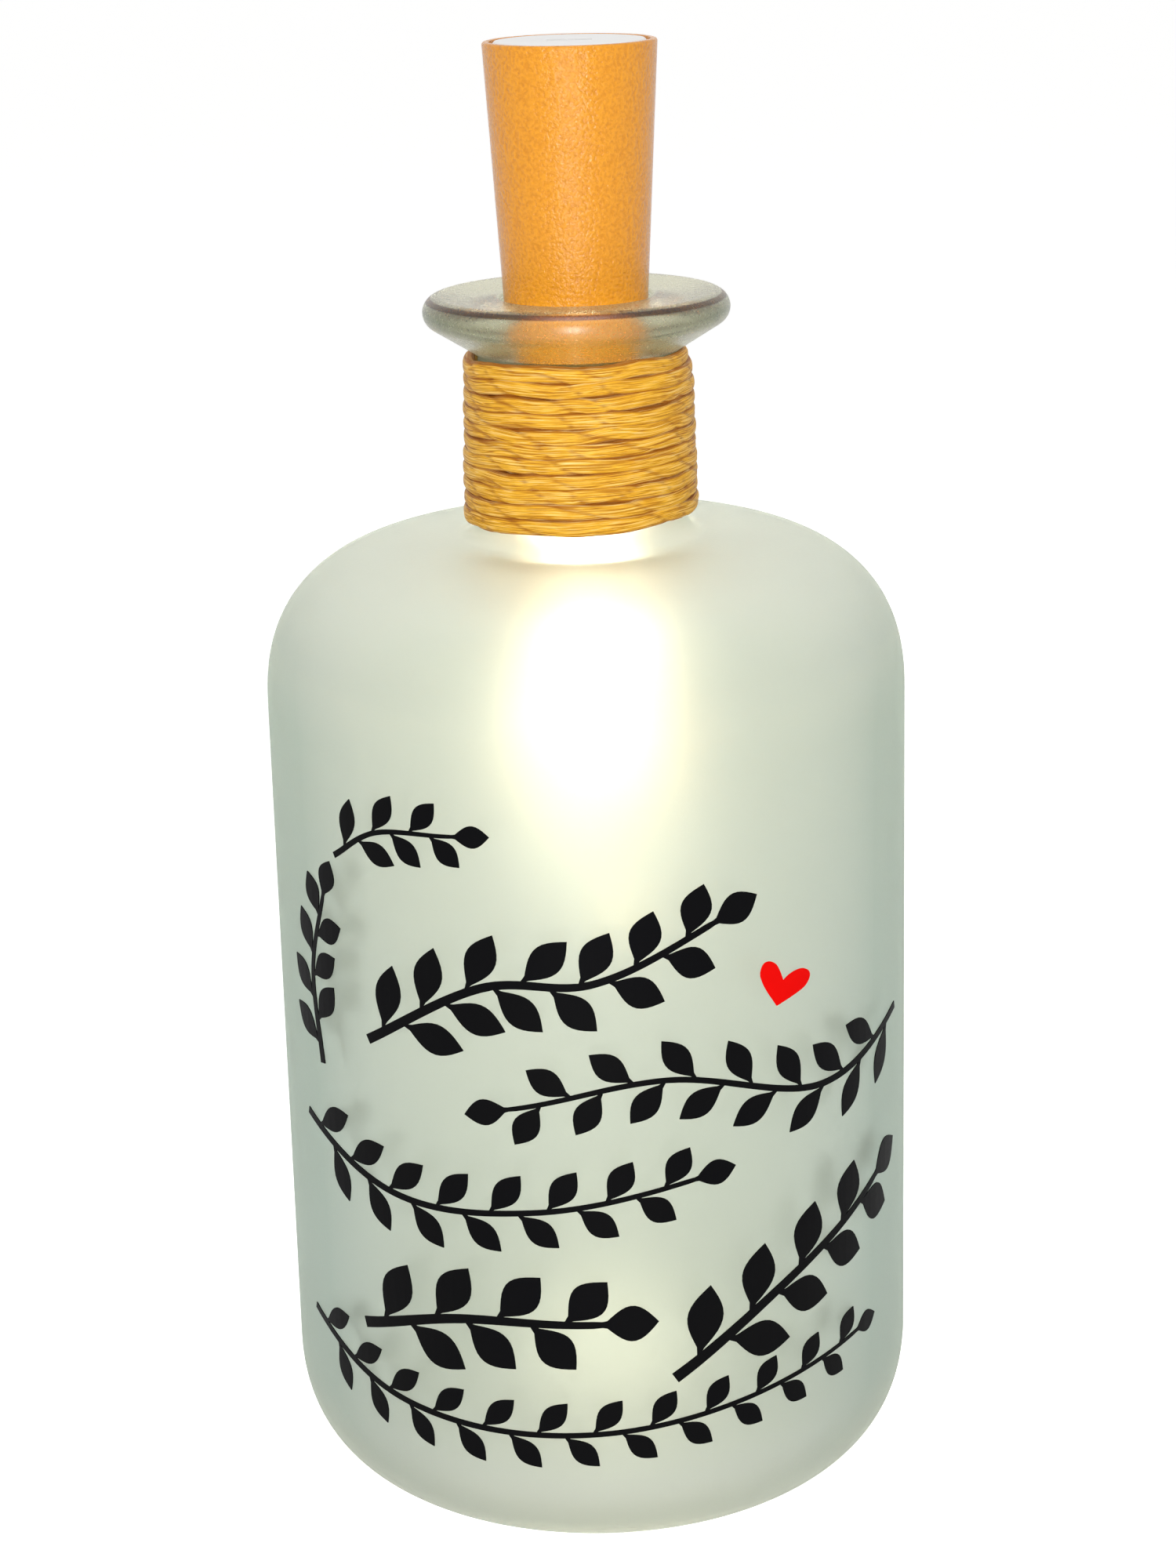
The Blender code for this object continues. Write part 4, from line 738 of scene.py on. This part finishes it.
polished_lip = finish(
    "polished_lip", (0.84, 0.85, 0.78), (0.80, 0.82, 0.75), 0.28, grain=2600.0, patches=45.0,
    depth=0.1, spread=0.05, more={"Transmission Weight": 0.92, "IOR": GLASS_IOR},
)
tint_by_depth_and_painted_light(polished_lip)
let_light_through(polished_lip, (0.98, 0.97, 0.94))
for material in (satin_frost, smooth_glass, polished_lip):
    bottle.data.materials.append(material)

# Neck cord: a waxed golden cord of two plies, wound almost eleven times round the neck under the
# lip by hand. The turns are pulled tight, press each other flat and waver a little, and both ends are
# tucked in behind.
CORD_TURNS = 10.9
CORD_STEPS = 90
CORD_PITCH = 1.88
CORD_TOP = 149.95
CORD_LEVEL_TURNS = 0.2
CORD_START = math.radians(30.0)
CORD_HALF_HEIGHT, CORD_HALF_DEPTH = 1.16, 0.9
CORD_CORNERS = 28
CORD_SQUARENESS = 2.5
CORD_TUCK_TURNS = 0.25
END_HEIGHT, END_DEPTH = 0.55, 0.6
STRANDS = 2
STRAND_LAY = 15.0
STRAND_RELIEF = 0.16
GROOVE_SHARPNESS = 4
LAY_WAVER, LAY_CHANGE = 0.8, 1.7
# Width in millimetres of the painted shade along the edges where neighbouring turns press together.
GROOVE_SHADE_WIDTH = 0.26
TURN_CHANGE = 1.7
HEIGHT_WAVER, SIZE_WAVER = (0.42, 0.0, 2.1), (0.14, 20.0, 2.2)
DEPTH_WAVER = (0.20, 40.0, 1.8)
SLACK = 0.1


def glass_radius(height):
    """Radius of the neck, and of the fillet at its root, in millimetres."""
    neck_foot = shoulder_top + NECK_ROOT_FILLET
    if height < neck_foot:
        return root_reach - math.sqrt(max(NECK_ROOT_FILLET**2 - (neck_foot - height)**2, 0.0))
    share = (height - neck_foot) / (lip_root - neck_foot)
    return NECK_ROOT_RADIUS + (NECK_TOP_RADIUS - NECK_ROOT_RADIUS) * share


def waver(angle, turn, amount, seed, detail):
    """A smooth, repeatable unevenness up to an amount, that differs from turn to turn."""
    place = Vector((math.cos(angle) * detail, math.sin(angle) * detail, turn * TURN_CHANGE + seed))
    return amount * noise.noise(place)


cord_stations = []
cord_sizes = []
for index in range(round(CORD_TURNS * CORD_STEPS) + 1):
    turn = index / CORD_STEPS
    angle = CORD_START - 2 * math.pi * turn
    height = CORD_TOP - CORD_PITCH * max(0.0, turn - CORD_LEVEL_TURNS)
    height += waver(angle, turn, *HEIGHT_WAVER) * min(1.0, turn / CORD_TUCK_TURNS)
    tuck = min(1.0, turn / CORD_TUCK_TURNS, (CORD_TURNS - turn) / CORD_TUCK_TURNS)
    size = (END_HEIGHT + (1 - END_HEIGHT) * tuck) * (1 + waver(angle, turn, *SIZE_WAVER))
    depth = CORD_HALF_DEPTH * (END_DEPTH + (1 - END_DEPTH) * tuck)
    radius = glass_radius(height) + depth + (SLACK + waver(angle, turn, *DEPTH_WAVER)) * tuck
    out = Vector((math.cos(angle), math.sin(angle), 0.0))
    cord_stations.append((out * radius * MM + Vector((0, 0, height * MM)), out, UP))
    cord_sizes.append((size, depth))
cord_line = [station[0] for station in cord_stations]
cord_step = (cord_line[1] - cord_line[0]).length / MM


def ply_groove(angle, travel):
    """One in the groove between the two plies of the cord, and zero on their backs."""
    plies = travel / STRAND_LAY
    turns = plies + LAY_WAVER * noise.noise(Vector((plies * LAY_CHANGE, 0.5, 0.5)))
    return (1 - abs(math.sin(STRANDS / 2 * (angle - 2 * math.pi * turns)))) ** GROOVE_SHARPNESS


def cord_ring(index):
    """Section of the pressed cord: a full oval with a groove between its plies."""
    size, depth = cord_sizes[index]
    for corner in range(CORD_CORNERS):
        angle = 2 * math.pi * corner / CORD_CORNERS
        x, y = math.cos(angle), math.sin(angle)
        full = (abs(x) ** CORD_SQUARENESS + abs(y) ** CORD_SQUARENESS) ** (-1 / CORD_SQUARENESS)
        full *= 1 - STRAND_RELIEF * ply_groove(angle, cord_step * index)
        yield x * full * depth * MM, y * full * size * CORD_HALF_HEIGHT * MM


shape = bmesh.new()
add_tube(shape, cord_stations, cord_ring)
neck_cord = piece_from("neck_cord", shape)
# Painted shade: one where neighbouring turns press together and in the groove between the plies.
groove_shade = neck_cord.data.attributes.new("groove_shade", "FLOAT", "POINT")
for index, value in enumerate(groove_shade.data):
    station, corner = divmod(index, CORD_CORNERS)
    angle = 2 * math.pi * corner / CORD_CORNERS
    offset = abs(neck_cord.data.vertices[index].co.z - cord_line[station].z) / MM
    pressed = max(0.0, (offset - CORD_PITCH / 2 + GROOVE_SHADE_WIDTH) / GROOVE_SHADE_WIDTH)
    value.value = min(1.0, pressed + ply_groove(angle, cord_step * station))
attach(neck_cord, "bottle")
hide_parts("neck_twine")


def blended(tree, share, first, second):
    """Goes from the first colour to the second one as a share goes from zero to one."""
    mix = add_node(tree, "ShaderNodeMix", {"Factor": share, 6: first, 7: second}, data_type="RGBA")
    return mix.outputs[2]


# Fibre streaks follow the fibre relief: partly the fibres' own tone, partly painted shade of crease
# brown in its hollows and a painted highlight of pale wax on its raised fibres.
CREASE_AND_SHADE_BROWN, WAX_PALE_AND_HIGHLIGHT = (0.40, 0.135, 0.012, 1.0), (1.0, 0.78, 0.34, 1.0)
FIBRE_SLANT, FIBRE_STRETCH = (0.0, 0.0, 0.42), (20.0, 0.9, 1.0)
CREASES, PALE_FIBRES, GROOVE_SHADE_FADE = (0.32, 0.52), (0.52, 0.80), (0.95, 0.25)
FIBRE_HEIGHT = 0.16 * MM

waxed_cord = finish(
    "waxed_cord", (0.97, 0.55, 0.046), (0.75, 0.345, 0.016), 0.42, grain=2500.0, patches=400.0,
    depth=0.3, spread=0.08, more={"Specular IOR Level": 0.1},
)
tree = waxed_cord.node_tree
lay = add_node(tree, "ShaderNodeUVMap", {}, uv_map="lay")
slant = add_node(tree, "ShaderNodeMapping", {
    "Vector": lay.outputs["UV"], "Rotation": FIBRE_SLANT, "Scale": FIBRE_STRETCH,
})
fibres = add_node(tree, "ShaderNodeTexNoise", {
    "Vector": slant.outputs["Vector"], "Scale": 2.2, "Detail": 5.0, "Distortion": 0.9,
})
# The painted shade between turns and plies takes the cord to crease brown.
groove_shade_mark = add_node(tree, "ShaderNodeAttribute", {}, attribute_name="groove_shade")
out_of_creases = rising(tree, fibres.outputs["Fac"], *CREASES)
unshaded = rising(tree, groove_shade_mark.outputs["Fac"], *GROOVE_SHADE_FADE)
uncreased_and_unshaded = add_node(tree, "ShaderNodeMath", {0: out_of_creases, 1: unshaded}, operation="MULTIPLY")
with_creases = blended(tree, uncreased_and_unshaded.outputs[0], CREASE_AND_SHADE_BROWN, tree.nodes["tone"].outputs[2])
# Pale on the raised fibres, partly a painted highlight.
cord_colour = blended(tree, rising(tree, fibres.outputs["Fac"], *PALE_FIBRES), with_creases, WAX_PALE_AND_HIGHLIGHT)
fibre_relief = add_node(tree, "ShaderNodeBump", {
    "Height": fibres.outputs["Fac"], "Normal": tree.nodes["relief"].outputs["Normal"],
    "Strength": 0.8, "Distance": FIBRE_HEIGHT,
})
feed(tree.nodes["Principled BSDF"], {
    "Base Color": cord_colour, "Normal": fibre_relief.outputs["Normal"],
})
neck_cord.data.materials.append(waxed_cord)

# Films: black vinyl cut to sprigs of leaves, and one red heart, rubbed down on the front of the glass.
# Each is one thin sheet that follows the round body, and its cut edge stands a little proud of it.
FILM_LIFT = 0.03
FILM_THICKNESS = 0.12
FILM_BEND_STEP = 1.5
LEAF_STEPS = 12
LEAF_ANGLE = math.radians(46.0)
LEAF_BELLY = 1.1
LEAF_FOOT = 0.08
LEAF_TAPER = 0.25
STALK_TAPER = 0.4
TIP_LEAF = 0.75
STEM_STEPS, STEM_CURVE_STEPS = 4, 24
CUT_GAP = 0.001
HEART_PLACE, HEART_STEPS = (25.1, 77.7), 6
HEART_LOBES = (
    ((-1.5, -3.0), (-3.0, -0.7), (-3.7, 0.8), (-3.85, 1.8), (-3.4, 2.8), (-2.5, 3.0), (-1.55, 2.45),
     (-0.95, 1.4), (-0.45, 0.1)),
    ((-0.45, 0.1), (0.35, 0.6), (1.45, 0.95), (2.7, 0.95), (3.6, 0.45), (3.85, -0.2), (3.5, -0.95),
     (2.7, -1.6), (0.9, -2.25), (-1.5, -3.0)),
)
SPRIGS = {
    "small_sprig_left": (((-36.0, 93.0), (-28.0, 97.5), (-17.0, 98.5)), 6.4, 2.8, 6.2, 0.8),
    "tall_sprig_left": (((-41.0, 64.0), (-42.5, 76.0), (-39.0, 87.0)), 7.0, 3.4, 6.2, 1.1),
    "long_branch_top": (((-31.0, 70.0), (-14.0, 79.5), (0.0, 80.5), (15.0, 87.0)), 8.6, 4.0, 7.0, 1.3),
    "long_branch_middle": (((50.0, 67.0), (31.0, 62.5), (9.0, 67.5), (-11.0, 64.0)), 7.8, 3.4, 7.8, 1.0),
    "wide_branch": (((-46.0, 56.0), (-27.0, 50.0), (-8.0, 50.5), (12.0, 54.0)), 7.4, 3.3, 7.6, 1.0),
    "bold_sprig_left": (((-34.0, 30.5), (-18.0, 35.0), (0.0, 35.5)), 9.4, 4.8, 8.2, 1.5),
    "bold_sprig_right": (((9.0, 27.5), (24.0, 37.0), (43.0, 46.0)), 9.4, 4.8, 8.2, 1.5),
    "low_garland": (((-47.0, 28.0), (-27.0, 21.5), (0.0, 20.5), (38.0, 26.0)), 6.4, 2.9, 7.2, 0.9),
}


def leaf_outline(foot, direction, length, width, corner):
    """One leaf from the first corner of its foot round its tip to the other corner."""
    side = Vector((-direction.y, direction.x))
    if side.dot(corner) < 0:
        side = -side
    first, second = [foot + corner], [foot - corner]
    for step in range(1, LEAF_STEPS):
        share = step / LEAF_STEPS
        swell = side * width / 2 * math.sin(math.pi * share**LEAF_BELLY)
        first.append(foot + direction * length * share + swell)
        second.append(foot + direction * length * share - swell)
    return first + [foot + direction * length] + second[::-1]


def sprig_outline(stem, leaf, width, gap, stalk):
    """A stem with leaves on both sides and one at its tip, as one closed outline."""
    curve = smooth_curve([(*knot, 0.0) for knot in stem], STEM_CURVE_STEPS)
    leaves = max(2, round(2 * line_length(curve) / gap))
    route = [point.to_2d() for point in even_points(curve, leaves * STEM_STEPS)]
    last = len(route) - 1
    sides = {1: [], -1: []}
    for index in range(last):
        along = (route[index + 1] - route[index]).normalized()
        across = Vector((-along.y, along.x))
        thin = stalk / 2 * (1 - STALK_TAPER * index / last)
        number, between = divmod(index, STEM_STEPS)
        if between or not number:
            for side in (1, -1):
                sides[side].append(route[index] + across * side * thin)
            continue
        along = (route[index + STEM_STEPS] - route[index]).normalized()
        side = 1 if number % 2 else -1
        turn = Matrix.Rotation(side * LEAF_ANGLE, 2)
        length = leaf * (1 - LEAF_TAPER * number / leaves)
        foot = route[index] + across * side * thin
        sides[side] += leaf_outline(foot, turn @ along, length, width, -along * width * LEAF_FOOT)
        sides[-side].append(route[index] - across * side * thin)
    along = (route[last] - route[last - STEM_STEPS]).normalized()
    corner = Vector((along.y, -along.x)) * width * LEAF_FOOT
    tip = leaf_outline(route[last], along, leaf * TIP_LEAF, width, corner)
    return sides[-1] + tip + sides[1][::-1]


def heart_outline():
    """A heart drawn by hand, with a long lobe on each side of its deep notch."""
    for lobe in HEART_LOBES:
        for point in smooth_curve([(*knot, 0.0) for knot in lobe], HEART_STEPS)[:-1]:
            yield Vector(HEART_PLACE) + point.to_2d()


def film_piece(name, outline):
    """A sheet cut to an outline, given its thickness and bent round the body."""
    shape = bmesh.new()
    shape.faces.new([shape.verts.new((point.x, point.y, 0)) for point in outline])
    shape.normal_update()
    bmesh.ops.triangulate(shape, faces=shape.faces, quad_method="BEAUTY", ngon_method="EAR_CLIP")
    low = min(vert.co.x for vert in shape.verts)
    high = max(vert.co.x for vert in shape.verts)
    cuts = math.floor((high - low) / FILM_BEND_STEP)
    for cut in range(1, cuts + 1):
        bmesh.ops.bisect_plane(
            shape, geom=shape.verts[:] + shape.edges[:] + shape.faces[:], dist=CUT_GAP,
            plane_co=(low + cut * FILM_BEND_STEP, 0, 0), plane_no=(1, 0, 0),
        )
    sheet = bmesh.ops.extrude_face_region(shape, geom=shape.faces[:], use_keep_orig=True)
    raised = [item for item in sheet["geom"] if isinstance(item, bmesh.types.BMVert)]
    bmesh.ops.translate(shape, vec=(0, 0, FILM_THICKNESS), verts=raised)
    bmesh.ops.recalc_face_normals(shape, faces=shape.faces)
    for vert in shape.verts:
        radius = BODY_RADIUS + FILM_LIFT + vert.co.z
        angle = vert.co.x / BODY_RADIUS
        vert.co = Vector((radius * math.sin(angle), -radius * math.cos(angle), vert.co.y)) * MM
    return piece_from(name, shape)


vinyl_gloss = {"Specular IOR Level": 0.03}
black_vinyl = finish(
    "black_vinyl", (0.002, 0.002, 0.003), (0.004, 0.004, 0.004), 0.45, grain=1500.0, patches=60.0,
    depth=0.05, more=vinyl_gloss,
)
red_vinyl = finish(
    "red_vinyl", (0.80, 0.003, 0.002), (0.74, 0.002, 0.001), 0.45, grain=1500.0, patches=60.0,
    depth=0.05, more=vinyl_gloss,
)
for name, (stem, leaf, width, gap, stalk) in SPRIGS.items():
    film = film_piece(f"film_{name}", sprig_outline(stem, leaf, width, gap, stalk))
    film.data.materials.append(black_vinyl)
    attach(film, "bottle")
    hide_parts(f"ornament_{name}")
heart = film_piece("film_heart", heart_outline())
heart.data.materials.append(red_vinyl)
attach(heart, "bottle")
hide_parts("red_heart")

# Stopper: a tapered cup moulded in one piece from tan-orange plastic, with the fine dimples of a
# spark-eroded mould. Its recess takes the cell carrier, a ledge in its bore holds the board, and its
# floor has the wire's hole.
STOPPER_BOTTOM, STOPPER_TOP = 144.0, 189.0
STOPPER_BOTTOM_RADIUS, STOPPER_TOP_RADIUS = 8.37, 10.85
STOPPER_EDGE = 0.35
HOLE_EDGE, BORE_EDGE, RECESS_EDGE, RECESS_EDGE_MIDDLE = 0.15, 0.2, 0.15, (0.05, 0.04)
RECESS_RADIUS, RECESS_FLOOR = 9.95, 186.2
BORE_RADIUS, BOARD_LEDGE = 7.3, 154.52
CHAMBER_RADIUS, CHAMBER_FLOOR = 5.6, 146.5
WIRE_HOLE_RADIUS = 1.9
STOPPER_STEPS = 120

rim_middle = (STOPPER_TOP_RADIUS - STOPPER_EDGE, STOPPER_TOP - STOPPER_EDGE)
foot_middle = (STOPPER_BOTTOM_RADIUS - STOPPER_EDGE, STOPPER_BOTTOM + STOPPER_EDGE)
shell_profile = [
    (WIRE_HOLE_RADIUS, STOPPER_BOTTOM + HOLE_EDGE),
    (WIRE_HOLE_RADIUS, CHAMBER_FLOOR),
    (CHAMBER_RADIUS, CHAMBER_FLOOR),
    (CHAMBER_RADIUS, BOARD_LEDGE),
    (BORE_RADIUS, BOARD_LEDGE),
    (BORE_RADIUS, RECESS_FLOOR - BORE_EDGE),
    (BORE_RADIUS + BORE_EDGE, RECESS_FLOOR),
    (RECESS_RADIUS, RECESS_FLOOR),
    (RECESS_RADIUS, STOPPER_TOP - RECESS_EDGE),
    (RECESS_RADIUS + RECESS_EDGE_MIDDLE[0], STOPPER_TOP - RECESS_EDGE_MIDDLE[1]),
    (RECESS_RADIUS + RECESS_EDGE, STOPPER_TOP),
    *arc_points(rim_middle, STOPPER_EDGE, math.pi / 2, 0.0, steps=6),
    *[(STOPPER_TOP_RADIUS + (STOPPER_BOTTOM_RADIUS - STOPPER_TOP_RADIUS) * share,
       STOPPER_TOP + (STOPPER_BOTTOM - STOPPER_TOP) * share) for share in (0.25, 0.5, 0.75)],
    *arc_points(foot_middle, STOPPER_EDGE, 0.0, -math.pi / 2, steps=6),
    (WIRE_HOLE_RADIUS + HOLE_EDGE, STOPPER_BOTTOM),
]
SOFT_TURN = math.radians(35.0)


def smooth_by_angle(shape):
    """Rounds the look of the soft turns of a surface and leaves its real corners crisp."""
    for face in shape.faces:
        face.smooth = True
    for edge in shape.edges:
        edge.smooth = len(edge.link_faces) == 2 and edge.calc_face_angle() < SOFT_TURN


shape = bmesh.new()
spin_profile(shape, shell_profile, STOPPER_STEPS, closed=True)
bmesh.ops.recalc_face_normals(shape, faces=shape.faces)
smooth_by_angle(shape)
stopper_shell = piece_from("stopper_shell", shape)
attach(stopper_shell, "stopper")
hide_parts("cork_shell")
# Grain levels over which the orange darkens into the hollows of its dimples, a painted shade.
DIMPLE_SHADE = (0.60, 0.30)
DIMPLE_DEPTH = 0.22 * MM
orange_plastic = finish(
    "orange_plastic", (0.82, 0.325, 0.012), (0.685, 0.245, 0.005), 0.16, grain=2300.0, patches=220.0,
    depth=1.0, more={"Specular IOR Level": 0.36},
)
tree = orange_plastic.node_tree
# The dimples' hollows take the darker tone, a painted shade.
feed(tree.nodes["tone"], {"Factor": rising(tree, tree.nodes["surface"].outputs["Grain"], *DIMPLE_SHADE)})
feed(tree.nodes["relief"], {"Distance": DIMPLE_DEPTH})
stopper_shell.data.materials.append(orange_plastic)

# Inside of the stopper: moulded, stamped and turned parts that stand ready in the CAD model.
# Each gets its corners broken as its making leaves them, and the finish of its stuff.
JOINED_GAP = 0.002 * MM
FLAT_ANGLE, SHARP_ANGLE = math.radians(1.0), math.radians(40.0)


def detailed_copy(name, node, body, slot, material, bevel):
    """A CAD solid with its loose faces joined and its sharp corners broken."""
    shape = bmesh.new()
    shape.from_mesh(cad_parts[node].data)
    bmesh.ops.remove_doubles(shape, verts=shape.verts, dist=JOINED_GAP)
    bmesh.ops.dissolve_limit(shape, angle_limit=FLAT_ANGLE, verts=shape.verts, edges=shape.edges)
    sharp = [edge for edge in shape.edges if edge.is_manifold and edge.calc_face_angle() > SHARP_ANGLE]
    bmesh.ops.bevel(
        shape, geom=sharp, offset=bevel * MM, offset_type="OFFSET", affect="EDGES", segments=2,
        profile=0.5, material=-1, clamp_overlap=True,
    )
    smooth_by_angle(shape)
    made = piece_from(name, shape)
    made.data.materials.clear()
    made.data.materials.append(material)
    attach(made, body)
    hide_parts(node)


seal_silicone = finish(
    "seal_silicone", (0.84, 0.84, 0.79), (0.76, 0.76, 0.70), 0.45, grain=900.0, depth=0.05,
    more={"Transmission Weight": 0.35},
)
board_mask = finish(
    "board_mask", (0.035, 0.22, 0.075), (0.025, 0.17, 0.06), 0.35, grain=2200.0, depth=0.08,
)
resistor_body = finish("resistor_body", (0.02, 0.02, 0.02), (0.03, 0.03, 0.03), 0.5, grain=4000.0)
spring_brass = finish(
    "spring_brass", (0.80, 0.62, 0.30), (0.70, 0.52, 0.24), 0.26, metallic=1.0, grain=3500.0,
    patches=260.0,
)
nickel_steel = finish(
    "nickel_steel", (0.74, 0.74, 0.73), (0.62, 0.62, 0.61), 0.22, metallic=1.0, grain=2600.0,
    patches=200.0,
)
gasket_nylon = finish("gasket_nylon", (0.08, 0.22, 0.10), (0.06, 0.17, 0.08), 0.5, grain=3000.0)
white_plastic = finish(
    "white_plastic", (0.93, 0.92, 0.90), (0.88, 0.87, 0.85), 0.34, grain=1600.0, depth=0.2,
)
black_plastic = finish(
    "black_plastic", (0.03, 0.03, 0.03), (0.045, 0.045, 0.045), 0.4, grain=1600.0, depth=0.25,
)

cell_parts = []
for number in (1, 2, 3):
    cell_parts += [
        (f"button_can_{number}", f"cell_can_{number}", "cartridge", "cell_steel", nickel_steel, 0.1),
        (f"button_ring_{number}", f"cell_gasket_{number}", "cartridge", "cell_gasket", gasket_nylon,
         0.05),
        (f"button_cap_{number}", f"cell_cap_{number}", "cartridge", "cell_steel", nickel_steel, 0.1),
    ]
for inner_part in (
    ("silicone_seal", "wire_seal", "stopper", "seal_silicone", seal_silicone, 0.12),
    ("circuit_board", "contact_board", "stopper", "board_green", board_mask, 0.06),
    ("board_spring_positive", "board_contact_positive", "stopper", "spring_brass", spring_brass, 0.04),
    ("board_spring_negative", "board_contact_negative", "stopper", "spring_brass", spring_brass, 0.04),
    ("chip_resistor", "series_resistor", "stopper", "resistor_black", resistor_body, 0.05),
    ("carrier_moulding", "cell_carrier", "cartridge", "white_plastic", white_plastic, 0.1),
    ("top_contact", "positive_contact", "cartridge", "spring_brass", spring_brass, 0.04),
    ("back_strip", "side_strip", "cartridge", "spring_brass", spring_brass, 0.04),
    ("cell_spring", "battery_spring", "cartridge", "spring_brass", spring_brass, 0.04),
    *cell_parts,
    ("slide_knob", "switch_knob", "switch", "black_plastic", black_plastic, 0.1),
    ("slide_wiper", "switch_wiper", "switch", "spring_brass", spring_brass, 0.04),
    ("board_wire", "inner_lead", "stopper", "copper_wire", copper_enamel, 0.0),
):
    detailed_copy(*inner_part)
